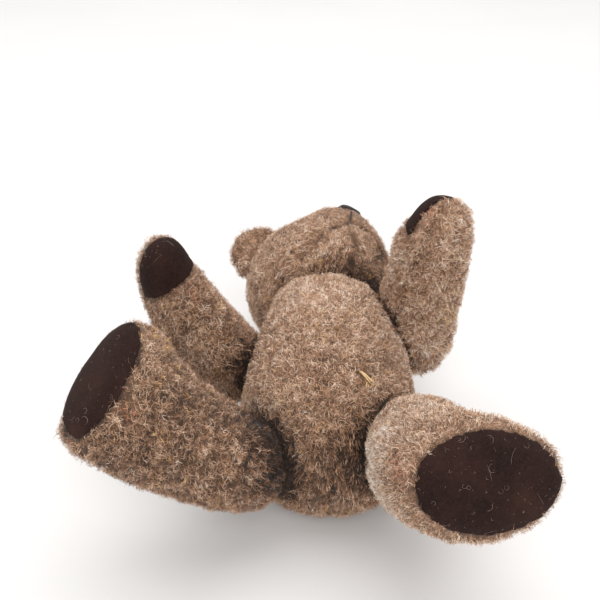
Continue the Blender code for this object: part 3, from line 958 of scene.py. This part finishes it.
button_material = lacquer()
button = [(0.0, SHANK_DEPTH), (SHANK_RADIUS, SHANK_DEPTH), (SHANK_RADIUS, -0.6 * MM)]
button += [(EYE_RADIUS * 0.85, 0.2 * MM), (EYE_RADIUS, EYE_RIM)]
for angle in np.linspace(0.15, 1.45, 9):
    button.append((EYE_RADIUS * math.cos(angle), EYE_RIM + (EYE_DOME - EYE_RIM) * math.sin(angle)))
button.append((0.0, EYE_DOME))
eyes = {}
for side, sign in zip(SIDES, (1, -1)):
    place, turn = stand((sign * EYE_SIDE, EYE_UP, 0.80))
    eyes["eye_" + side] = lathe("eye_%s_boot_button" % side, button, place, turn, EYE_STEPS)
    dress(eyes["eye_" + side].data, button_material)
print("eyes:", sorted(eyes))

# %% Nose and mouth
NOSE_HALF, NOSE_TALL, NOSE_RISE, NOSE_ROWS, NOSE_SPOTS = 10.5 * MM, 7.6 * MM, 2.4 * MM, 21, 9
NOSE_DOWN, NOSE_SEED, UNEVEN, OVER_CLOTH = -0.18, 12, 0.25 * MM, 0.1 * MM
MOUTH_HALF, MOUTH_TOP, MOUTH_END, MOUTH_SPOTS, MOUTH_RISE = 0.0042, -0.34, -0.54, 7, 0.6 * MM


def nose_rows():
    """Threads side by side over a low dome, each a little longer or shorter than it should be."""
    rng = np.random.default_rng(NOSE_SEED)
    place, turn = stand((0.0, NOSE_DOWN, 1.0))
    rows = []
    for across in np.linspace(-1, 1, NOSE_ROWS):
        half = NOSE_TALL * math.sqrt(max(1 - across**2, 0.04)) * (0.85 if across else 1.0)
        up = np.linspace(-half, half, NOSE_SPOTS) + rng.normal(0, UNEVEN)
        flat = np.stack([np.full(NOSE_SPOTS, across * NOSE_HALF), up, np.zeros(NOSE_SPOTS)], axis=1)
        dome = NOSE_RISE * np.sqrt(np.clip(1.05 - across**2 - (up / NOSE_TALL) ** 2, 0, 1))
        rows.append(over_skin(place + flat @ turn, dome + OVER_CLOTH))
    return rows


def mouth_rows():
    rows = []
    for across in (-MOUTH_HALF, MOUTH_HALF):
        spots = [skin_place("head", (across, up, 1.0))[0] for up in np.linspace(MOUTH_TOP, MOUTH_END, MOUTH_SPOTS)]
        rows.append(over_skin(np.array(spots), MOUTH_RISE))
    return rows


stitches = {
    "nose_stitching": threads("nose_satin_stitches", nose_rows(), 1.25 * MM, pearl_cotton),
    "mouth_stitching": threads("mouth_line_stitch", mouth_rows(), 1.1 * MM, pearl_cotton),
}

# %% [markdown]
# ## The pile
# Mohair pile starts as straight, shiny locks. After years of cuddling it is a felted mat of fine curls,
# bleached at the tips and thin where it has rubbed away; each hair is given painted shade, darker the lower
# it lies in the mat. Single hairs can't be modelled one by one, so a few locks of flat ribbons are built,
# some curled and some combed, and Geometry Nodes scatter them over the cloth. Numbers painted on the
# cloth's points steer how thickly, how long, how tangled, which way and in what shade they grow.

# %% Locks of hair
LOCK_HAIRS, HAIR_STEPS, CURLED_LOCKS, COMBED_LOCKS, LOCK_SEED = 4, 4, 10, 5, 7
HAIR_LENGTH, HAIR_WIDTH, ROOT_SPREAD, ROOT_DEPTH = 7.2 * MM, 0.36 * MM, 0.9 * MM, -0.5 * MM
HAIR_RISE, STEP_RANGE, TURN_BACK = (0.7, 1.4), (0.75, 1.25), -0.4
MAT_LOW, MAT_HIGH, TONE_SPREAD, EDGE_TONE = 0.3 * MM, 3.2 * MM, 0.13, 0.02
CURLED, COMBED = (0.92, 0.50), (0.18, 0.25)  # how much a lock bends, and how far its hairs stray
WILD_STRAY = 0.3  # a lock that strays more than this has one hair that leans any way


def hair(rng, lean, turn, bends):
    """The points of one hair from root to tip: it rises, leans over and curls within the mat."""
    way = Vector((math.cos(lean), math.sin(lean), rng.uniform(*HAIR_RISE))).normalized()
    step = HAIR_LENGTH / HAIR_STEPS * rng.uniform(*STEP_RANGE)
    points = [Vector((*rng.normal(0, ROOT_SPREAD, 2), ROOT_DEPTH))]
    for bend in bends:
        points.append(points[-1] + way * step)
        way = Quaternion(turn, bend) @ way
        if not MAT_LOW < points[-1].z + way.z * step < MAT_HIGH:
            way.z *= TURN_BACK
            way.normalize()
    return points


def mat_level(point, n):
    """How far up in the mat a point of a hair is, with a little added towards its tip; it sets the painted shade."""
    return min(max(0.75 * point.z / MAT_HIGH + 0.25 * n / HAIR_STEPS, 0.0), 1.0)


def lock(name, rng, bend, stray):
    """A lock: a few hairs that curl together, as ribbons, with each hair's tone and level in a map."""
    verts, faces, spots = [], [], []
    hand, bends = rng.choice((-1.0, 1.0)), bend * rng.uniform(-0.3, 1.5, HAIR_STEPS)
    for n in range(LOCK_HAIRS):
        wild = n == 0 and stray > WILD_STRAY
        lean = rng.uniform(0, 2 * math.pi) if wild else rng.normal(0, stray)
        turn = Vector((*rng.normal(0, 0.4, 2), hand)).normalized()
        points = hair(rng, lean, turn, bends * rng.uniform(0.8, 1.2))
        tone = rng.uniform(-TONE_SPREAD, TONE_SPREAD)
        dark, light = tone - EDGE_TONE, tone + EDGE_TONE
        first, levels = len(verts), [mat_level(point, n) for n, point in enumerate(points)]
        for n, point in enumerate(points[:-1]):
            way = points[n + 1] - point
            flat = way.cross(Vector((0, 0, 1)) + 0.4 * Vector(rng.normal(size=3))).normalized()
            wide = HAIR_WIDTH / 2 * (1 - 0.6 * n / HAIR_STEPS)
            verts += [point - flat * wide, point + flat * wide]
        verts.append(points[-1])
        for n, (low, high) in enumerate(zip(levels[: HAIR_STEPS - 1], levels[1:])):
            corner = first + 2 * n
            faces.append((corner, corner + 1, corner + 3, corner + 2))
            spots += [(dark, low), (light, low), (light, high), (dark, high)]
        faces.append((len(verts) - 3, len(verts) - 2, len(verts) - 1))
        spots += [(dark, levels[-2]), (light, levels[-2]), (tone, levels[-1])]
    mesh = bpy.data.meshes.new(name)
    mesh.from_pydata(verts, [], faces)
    mesh.uv_layers.new(name="OFBake").uv.foreach_set("vector", np.array(spots).ravel())
    mesh.shade_smooth()
    return bpy.data.objects.new(name, mesh)


rng = np.random.default_rng(LOCK_SEED)
locks = bpy.data.collections.new("locks")
bpy.context.scene.collection.children.link(locks)
for n in range(CURLED_LOCKS + COMBED_LOCKS):
    locks.objects.link(lock("lock_%02d" % n, rng, *(CURLED if n < CURLED_LOCKS else COMBED)))

# %% What steers the pile
STAINS = ("yellow", "red", "pale")
FIELDS = ("density", "length", "shade", *STAINS, "tangle")
BANDS = 1 + len(STAINS)  # clean brown and the stains: each has a quarter of the map
TONE_STOPS = (0.02, 0.20, 0.42, 0.68, 0.98)  # where each tone of a band lies, from dark to light
INPUTS = {"Locks": "Collection", "Spacing": "Float", "Wildness": "Float", "Lean": "Float"}
INPUTS.update({"Shade Spread": "Float", "Table Level": "Float", "Seed": "Int", "Material": "Material"})
LAST_CURLED, LAST_LOCK = CURLED_LOCKS - 0.01, CURLED_LOCKS + COMBED_LOCKS - 0.01  # rounded down to a lock
CHANCES = {
    # what is left to chance for each lock: what is added to the seed, the least and the most
    "curls": (5, 0.0, 1.0),
    "spin": (3, -math.pi, math.pi),
    "curled lock": (7, 0.0, LAST_CURLED),
    "combed lock": (8, CURLED_LOCKS, LAST_LOCK),
    "size": (9, 0.7, 1.15),
    "tone": (11, -1.0, 1.0),
    **{stain: (21 + rank, 0.0, 1.0) for rank, stain in enumerate(STAINS)},
}
WILD_SEED, LEAST_SPIN = 91, 0.12
print("fields:", FIELDS, "chances:", list(CHANCES))


# %% Locks on the cloth
def scattered(tree, given, painted, chance):
    """Locks rooted as thickly as the cloth is painted, each turned its own way."""
    area = add(tree, "POWER", given["Spacing"], 2.0)
    thick = add(tree, "DIVIDE", painted["density"], area)
    spread = {"Mesh": given["Geometry"], "Density": thick, "Seed": given["Seed"]}
    roots = add(tree, "GeometryNodeDistributePointsOnFaces", spread, distribute_method="RANDOM")

    # a lock stands up, leans the way it is combed, and strays a little
    ball = {0: (-1, -1, -1), 1: (1, 1, 1), "Seed": WILD_SEED}
    anyway = add(tree, "FunctionNodeRandomValue", ball, data_type="FLOAT_VECTOR")
    way = roots.node.outputs["Normal"]
    for push, amount in ((painted["comb"], "Lean"), (anyway, "Wildness")):
        push = add(tree, VECTOR, push, {"Scale": given[amount]}, operation="SCALE")
        way = add(tree, VECTOR, way, push, operation="ADD")
    stood = add(tree, "FunctionNodeAlignRotationToVector", {"Vector": way}, axis="Z")
    combed = {"Rotation": stood, "Vector": painted["comb"]}
    stood = add(tree, "FunctionNodeAlignRotationToVector", combed, axis="X", pivot_axis="Z")

    # a curled lock spins any way, and a combed one hardly at all
    curled = add(tree, "LESS_THAN", chance["curls"], painted["tangle"])
    reach = add(tree, "MAXIMUM", curled, LEAST_SPIN)
    angle = add(tree, "MULTIPLY", chance["spin"], reach)
    turn = {"Rotation": stood, "Rotate By": add(tree, "FunctionNodeAxisAngleToRotation", (0, 0, 1), angle)}
    turned = add(tree, "FunctionNodeRotateRotation", turn, rotation_space="LOCAL")
    first = add(tree, "MULTIPLY", curled, chance["curled lock"])
    straight = add(tree, "SUBTRACT", 1.0, curled)
    pick = add(tree, "MULTIPLY_ADD", straight, chance["combed lock"], first)
    pick = add(tree, "FLOOR", pick)
    size = add(tree, "MULTIPLY", painted["length"], chance["size"])
    sorts = {"Collection": given["Locks"], "Separate Children": True, "Reset Children": True}
    choice = {"Instance": add(tree, "GeometryNodeCollectionInfo", sorts), "Pick Instance": True}
    choice.update({"Points": roots, "Instance Index": pick, "Rotation": turned, "Scale": size})
    return add(tree, "GeometryNodeInstanceOnPoints", choice)


print("kinds of lock:", CURLED_LOCKS, "curled,", COMBED_LOCKS, "combed")


# %% Stains and tones
def stained(tree, given, painted, chance, pile):
    """Each lock is struck by a stain or not, and is a little lighter or darker than the next."""
    band = 0.0
    for rank, stain in enumerate(STAINS):
        struck = add(tree, "LESS_THAN", chance[stain], painted[stain])
        struck = add(tree, "MULTIPLY", struck, rank + 1.0)
        band = add(tree, "MAXIMUM", band, struck)
    shade = add(tree, "MULTIPLY_ADD", chance["tone"], given["Shade Spread"], painted["shade"])
    for title, value in (("band", band), ("tone", shade)):
        kept = {"Geometry": pile, "Name": title, "Value": value}
        pile = add(tree, "GeometryNodeStoreNamedAttribute", kept, data_type="FLOAT", domain="INSTANCE")
    return add(tree, "GeometryNodeRealizeInstances", pile)


def mapped(tree, painted, pile):
    """Every hair finds its tone in its stain's quarter of the map."""
    spot = add(tree, "ShaderNodeSeparateXYZ", painted["OFBake"]).node.outputs
    across, band = spot[0], painted["band"]
    inside = ("MAXIMUM", TONE_STOPS[0]), ("MINIMUM", TONE_STOPS[-1])
    for operation, value in (("ADD", painted["tone"]), *inside, ("ADD", band), ("DIVIDE", BANDS)):
        across = add(tree, operation, across, value)
    kept = {"Geometry": pile, "Name": "OFBake", "Value": add(tree, "ShaderNodeCombineXYZ", across, spot[1])}
    return add(tree, "GeometryNodeStoreNamedAttribute", kept, data_type="FLOAT2", domain="CORNER")


print("stains:", STAINS, "in", BANDS, "bands")


# %% The tree that grows the pile
def pile_tree():
    tree, given = new_tree("mohair_pile", **INPUTS)
    painted, chance = {}, {}
    for name in (*FIELDS, "band", "tone", "comb", "OFBake"):
        kind = "FLOAT_VECTOR" if name in ("comb", "OFBake") else "FLOAT"
        painted[name] = add(tree, "GeometryNodeInputNamedAttribute", {"Name": name}, data_type=kind)
    for name, (shift, low, high) in CHANCES.items():
        draw = {2: low, 3: high, "Seed": add(tree, "ADD", given["Seed"], shift)}
        chance[name] = add(tree, "FunctionNodeRandomValue", draw, out=1, data_type="FLOAT")
    pile = stained(tree, given, painted, chance, scattered(tree, given, painted, chance))
    pile = mapped(tree, painted, pile)
    # no hair goes through the table
    at = add(tree, "ShaderNodeSeparateXYZ", add(tree, "GeometryNodeInputPosition")).node.outputs
    above = add(tree, "MAXIMUM", at[2], given["Table Level"])
    raised = add(tree, "ShaderNodeCombineXYZ", at[0], at[1], above)
    pile = add(tree, "GeometryNodeSetPosition", {"Geometry": pile, "Position": raised})
    pile = add(tree, "GeometryNodeSetMaterial", {"Geometry": pile, "Material": given["Material"]})
    add(tree, "NodeGroupOutput", pile)
    return tree


growing = pile_tree()
print("tree:", growing.name, "nodes:", len(growing.nodes))

# %% Mohair material
# Mohair: goat hair, dyed brown and bleached by light. Each quarter of the map is one tone family, from dark
# to light: clean brown, yellowed by straw dust, reddened by old dye, and worn pale.
# the darkest tones of each family are reached where creases, seams and folds get painted shade
TONES = (
    ("#26150b", "#725340", "#bd9375", "#e6c6aa", "#fff2e4"),
    ("#33200f", "#8c6135", "#cf9f60", "#efca90", "#ffeec8"),
    ("#331a11", "#8a5340", "#c98a6b", "#efbb9c", "#ffdfc8"),
    ("#4a372a", "#a0836f", "#d8bba5", "#f5e1d0", "#fffaf2"),
)
# painted shade: a hair is darker the lower it lies in the mat, as the mat shades itself
MAT_PAINTED_SHADE = ((0.0, "#94867c"), (0.35, "#dad3cd"), (0.75, "#ffffff"))


def mohair():
    """Across the map a hair's tone, and up it the painted shade of the mat round it."""
    sockets = {"Roughness": 0.78, "Specular_IOR_Level": 0.3, "Sheen_Weight": 0.08}
    material, tree, _ = new_material("mohair_pile_matted", **sockets)
    spot = add(tree, "ShaderNodeSeparateXYZ", add(tree, "ShaderNodeUVMap", uv_map="OFBake")).node.outputs
    stops = []
    for band, tones in enumerate(TONES):
        stops += [((band + share) / BANDS, tone) for share, tone in zip(TONE_STOPS, tones)]
    base = add(tree, RAMP, spot[0], stops=stops)
    root = add(tree, RAMP, spot[1], stops=MAT_PAINTED_SHADE)
    layers = {0: 1.0, 6: base, 7: root}
    finish_with(tree, add(tree, MIX, layers, out=2, data_type="RGBA", blend_type="MULTIPLY"))
    return material


pile_material = mohair()
print("material:", pile_material.name)

# %% [markdown]
# ## Painting how the pile grows
# On a real bear the pile is shorter in the creases, pressed flat where it is held, combed back from the
# nose, thin on the seams, and long and ragged where it hangs over a pad's edge. Here each of these is one
# rule on the points of the cloth. The creases, seams, folds and pad edges also get painted shade, and the
# clumps painted light. A table lists the stains, worn places and painted shade one by one, and some places
# that are only made lighter or darker.

# %% Each part's pile
PILE = {
    # shade from dark 0 to light 1, length, share of curled locks
    "torso": (0.55, 0.95, 1.00),
    "head": (0.56, 1.00, 0.60),
    "leg_left": (0.57, 0.88, 0.90),
    "leg_right": (0.40, 0.86, 0.95),
    "arm_left": (0.58, 1.05, 1.00),
    "arm_right": (0.50, 1.00, 1.00),
    "ear_left": (0.52, 0.85, 0.90),
    "ear_right": (0.52, 0.85, 0.90),
}


# each rule below is an amount of change, with the distance over which it fades
def paint_all_over(name, points, field):
    """The creases between parts, the table, the seams and the clumps of matted hair, with painted shade and light."""
    shade, length, tangle = PILE[name]
    gap, seam, height = gaps[name], seam_distance(name, points), points[:, 2]
    clump = noises(points, CLUMP_SIZE, CLUMP_SHIFT)
    field["density"] += ease(gap, 0.7 * MM, 2.5 * MM) * ease(height, 0.5 * MM, 3.0 * MM)
    field["density"] *= (1 - 0.8 * bell(seam, 1.0 * MM)) * (1 + 0.6 * clump)
    field["length"] += length * (0.70 + 0.30 * ease(gap, 2 * MM, 12 * MM)) * (1 + 0.30 * clump)
    field["length"] *= 0.6 + 0.4 * ease(height, 2 * MM, 12 * MM)
    # painted light and shade: the pile is lighter on the clumps, where the cloth bulges with the same noise, and
    # darker between
    field["shade"] += shade + 0.08 * noises(points, 14 * MM, 9.0) + 0.15 * clump
    # painted shade: darker in the creases between parts and in the seam valleys
    field["shade"] -= 0.52 * bell(gap, 6.5 * MM) + 0.12 * bell(seam, 1.5 * MM)
    for key, amount in (("tangle", tangle), ("pale", 0.08), ("yellow", 0.02)):
        field[key] += amount


print("parts with pile:", list(PILE))


# %% Limbs and head
def paint_limb(name, points, field, comb):
    """Pile that runs down a limb, and the rim of its pad, where it is rubbed short, combed outwards and given painted
    shade.
    """
    down, rim = axes(name)[1][2], distance(surface(pads[PAD_ON[name]].data), points)
    shorter = 0.55 if name == "arm_right" else 0.28
    field["density"] *= ease(rim, 0.92 * MM, 1.3 * MM)
    field["length"] *= 1 - shorter * bell(rim, 5.0 * MM)
    # painted shade at the pad's edge, where the pile overhangs it
    field["shade"] -= 0.15 * bell(rim, 2.0 * MM)
    comb += bell(rim, 6 * MM)[:, None] * down * 0.12
    comb += down * 0.15


def paint_head(points, field, comb):
    """Folds under the chin with painted shade along them, short hair combed back over the muzzle, and bare cloth
    under the face.
    """
    chin = chin_distance(points)
    beside = bell(chin, 6 * MM)
    # painted shadow along the chin's folds
    field["shade"] -= 0.22 * bell(chin, 2.2 * MM)
    field["length"] *= 1 - 0.30 * bell(chin, 3.0 * MM)
    field["tangle"] -= 0.5 * beside
    comb += 1.6 * beside[:, None] * from_chin(points)
    muzzle = ease(local("head", points)[:, 2], 30 * MM, 60 * MM)
    field["length"] *= 1 - 0.35 * muzzle
    comb -= axes("head")[1][2] * (0.5 + 0.5 * muzzle)[:, None]
    for pieces, clear in ((eyes, 3.2 * MM), (stitches, 1.8 * MM)):
        near = distance(surface(*[piece.data for piece in pieces.values()]), points)
        field["density"] *= ease(near, 0.6 * MM, clear)
        field["length"] *= 0.55 + 0.45 * ease(near, 0, 9 * MM)


print("bare cloth round:", [piece.name for piece in (*eyes.values(), *stitches.values())])

# %% Worn and stained places, painted shade, and places made lighter or darker
PATCHES = {
    # middle in mm, radius in mm, what it changes and by how much
    "torso": (
        ((21, -34, 106), 5, {"density": -0.6, "yellow": 0.6}),
        ((-10, 61, 121), 6, {"red": 0.4}),
        # upper belly: painted light, with some pale wear
        ((-10, 50, 118), 40, {"shade": 0.12, "pale": 0.10}),
        # a little darker over the middle of the belly
        ((5, -25, 105), 40, {"shade": -0.08}),
        ((-50, -25, 75), 20, {"pale": 0.20, "tangle": -0.8, "comb": (0.1, -0.9, -0.6)}),
        # these two rows: painted shade in the crease at the right hip
        ((-33, -68, 60), 14, {"shade": -0.50, "tangle": -0.5, "comb": (-0.6, -0.3, 0.3)}),
        ((-42, -50, 80), 12, {"shade": -0.40}),
        # darker low by the right hip
        ((-29, -65, 39), 16, {"shade": -0.35}),
        # darker by the left hip
        ((24, -62, 84), 11, {"shade": -0.30}),
        # lighter, taking back some of the painted crease shade by the left arm
        ((60, 40, 88), 18, {"shade": 0.28}),
        # painted shade low on the belly, between the legs
        ((11, -70, 62), 30, {"tangle": -0.7, "shade": -0.30, "comb": (0.15, -0.2, -1.0)}),
        ((20, -60, 75), 20, {"yellow": 0.1}),
    ),
    "leg_left": (
        ((27, -80, 105), 20, {"pale": 0.2, "shade": -0.03}),
        ((52, -98, 130), 22, {"pale": 0.3, "shade": 0.06}),
        ((22, -106, 94), 28, {"pale": 0.55, "shade": 0.30}),
        ((31, -150, 131), 8, {"red": 0.7}),
        ((30, -125, 115), 18, {"pale": 0.3}),
    ),
    "leg_right": (
        ((-116, -106, 133), 7, {"red": 0.6}),
        ((-73, -86, 47), 12, {"red": 0.3, "yellow": 0.3}),
        # these two rows: painted shade in the crease between the right leg and the torso
        ((-34, -68, 64), 15, {"shade": -0.58, "comb": (0.6, 0.2, -0.5), "tangle": -0.5}),
        ((-45, -58, 80), 17, {"shade": -0.50, "comb": (0.6, 0.2, -0.5), "tangle": -0.5}),
        ((-100, -60, 146), 11, {"yellow": 0.45, "tangle": -0.5}),
        ((-152, -100, 111), 11, {"length": 0.35, "comb": (0.6, 0.65, 1.0)}),
        ((-105, -62, 150), 22, {"shade": 0.17}),
    ),
    "arm_left": (
        ((68, 36, 190), 6, {"red": 0.5}),
        # lighter, taking back some of the painted crease shade by the torso
        ((63, 38, 88), 14, {"shade": 0.12, "length": 0.15}),
        ((76, 39, 74), 20, {"pale": 0.1}),
        ((90, 46, 105), 14, {"yellow": 0.25, "pale": 0.25, "tangle": -0.6, "density": -0.2}),
    ),
    "arm_right": (
        ((-92, 23, 132), 8, {"red": 0.3}),
        ((-83, 41, 47), 13, {"length": 0.30}),
        # painted shade in the crease between the right arm and the torso
        ((-61, 24, 80), 18, {"shade": -0.36}),
        # darker lower down by the torso
        ((-58, 40, 60), 15, {"shade": -0.25}),
    ),
    "head": (
        ((29, 150, 117), 16, {"yellow": 0.06}),
        # painted shade in the fold under the muzzle, on the right
        ((47, 153, 102), 9, {"shade": -0.28}),
        # these four rows: painted shade in the crease between the head and the torso
        ((40, 124, 87), 15, {"shade": -0.50}),
        ((22, 120, 102), 15, {"shade": -0.48}),
        ((-4, 118, 104), 13, {"shade": -0.26}),
        ((-30, 116, 94), 12, {"shade": -0.22}),
    ),
}
print("worn places:", sum(len(places) for places in PATCHES.values()))


# %% Paint the cloth
def paint(name, points):
    """The fields that steer the pile, one value a point, and the way that it is combed."""
    field, comb = {key: np.zeros(len(points)) for key in FIELDS}, np.zeros((len(points), 3))
    paint_all_over(name, points, field)
    if name == "head":
        paint_head(points, field, comb)
    elif name in FRAMES:
        paint_limb(name, points, field, comb)
    for middle, radius, changes in PATCHES.get(name, ()):
        near = nearness(points, middle, radius)
        for key, amount in changes.items():
            if key == "comb":
                comb += near[:, None] * np.array(amount)
            elif key in ("density", "length"):
                field[key] *= 1 + amount * near
            else:
                field[key] += amount * near
    return {key: np.clip(values, 0, 2) for key, values in field.items()}, comb


UNDERCOAT_DARKER = 0.10
painted = {}
for name, form in forms.items():
    painted[name] = paint(name, read_points(form.data))
    # the undercoat follows the pile's tone a little darker, with the painted shade of creases, seams and folds
    tone = np.clip(painted[name][0]["shade"] - UNDERCOAT_DARKER, 0, 1)
    paint_layer(form.data, "undercoat", tone)
    print(name, "mean shade of the undercoat: %.2f" % tone.mean())

# %% Grow the pile
GROWTH = {"Spacing": 2.0 * MM, "Wildness": 0.20, "Lean": 0.30, "Shade Spread": 0.23, "Table Level": 0.2 * MM}
GROWTH.update({"Locks": locks, "Material": pile_material})
SECTION_SEEDS = 50  # how far apart the seeds of a part's sections are
DIVIDED = {
    # a large pile is kept in sections, each between two levels in mm: up from the table, or to the front
    "torso": (("back", -99, 45), ("flanks", 45, 90), ("belly", 90, 999)),
    "head": (("chin", -999, -4), ("crown", -4, 999)),
    "leg_left": (("calf", -999, 0), ("shin", 0, 999)),
    "leg_right": (("calf", -999, 0), ("shin", 0, 999)),
}


def grow(name, low, high, seed, title):
    """The pile of one part between two levels, or of the whole part when there are none."""
    mesh = forms[name].data.copy()
    base = placed(title, mesh)
    field, comb = painted[name]
    points, density = read_points(mesh), field["density"]
    if low is not None:
        level = points[:, 2] if name == "torso" else local(name, points)[:, 1]
        density = density * ((level > low * MM) & (level <= high * MM))
    for key, values in {**field, "density": density, "comb": comb}.items():
        paint_layer(mesh, key, values)
    base.data = run_tree(base, growing, {**GROWTH, "Seed": seed}, title)
    drop_layers(base.data, (*FIELDS, "comb", "band", "tone", "undercoat", "id"))
    print(title, "hairs:", len(base.data.polygons) // HAIR_STEPS)
    return base


piles = {}
for seed, name in enumerate(sorted(forms)):
    for shift, (place, low, high) in enumerate(DIVIDED.get(name, ((None, None, None),))):
        title = "_".join(filter(None, (name, place, "mohair_pile")))
        piles[title] = (name, grow(name, low, high, seed + SECTION_SEEDS * shift, title))
for one in list(locks.objects):
    bpy.data.objects.remove(one)
bpy.data.collections.remove(locks)

# %% [markdown]
# ## Inside the bear
# The packing, the joint discs, the washers and the split pins keep their CAD shapes. They are hidden, so
# they get plain but true finishes: packed softwood shavings, pressed hardboard, and dull zinc-plated steel.

# %% Finishes of the hidden parts
# Wood wool packed tight: ribbons of softwood about 1.5 mm wide that lie every way.
packed_wool = stranded("wood_wool_packed", ("#a47a3e", "#cda15c", "#e6c688"), 0.7, 1.5 * MM, 0.6 * MM)
# Hardboard: steamed and pressed wood fibre, brown, smooth and finely flecked.
hardboard = stranded("hardboard_pressed_fibre", ("#5e4128", "#77553a", "#8f6c4c"), 0.6, 0.7 * MM, 0.05 * MM)
# Zinc-plated mild steel: stamped washers and drawn wire, dulled by age.
steel = stranded("steel_zinc_plated_dull", ("#8b8d8f", "#a3a5a7", "#b9bbbd"), 0.38, 0.4 * MM, 0.01 * MM, Metallic=1.0)
FINISHES = {"_stuffing": packed_wool, "_disc": hardboard, "_washer": steel, "_split_pin": steel}
for ending, finish in FINISHES.items():
    hidden = [nodes[name] for name in nodes if name.endswith(ending)]
    for piece in hidden:
        for one in piece.material_slots:
            one.material = finish
    print(finish.name, "on", len(hidden), "nodes")

# %% [markdown]
# ## Pieces on their bodies
# Every new piece rides on the body that it is sewn to, and the CAD nodes that the covers, ears, pads, eyes
# and stitches stand in for are hidden. The covers and the felt pads are cloth; the packing fills them.

# %% Ride and replace
for name, form in forms.items():
    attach(form, BODY_OF[name])
    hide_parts(*[node for node in {**PARTS, **EARS}[name] if node.endswith("_cover") or name in EARS])
for name, piece in piles.values():
    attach(piece, BODY_OF[name])
for part, slot, piece in wisps.values():
    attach(piece, part)
for pieces, slot in ((eyes, "button"), (stitches, "thread"), (pads, "felt")):
    for name, piece in pieces.items():
        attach(piece, PADS.get(name, "head"))
        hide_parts(name)
print("pieces:", len(forms) + len(piles) + len(wisps) + len(eyes) + len(stitches) + len(pads))
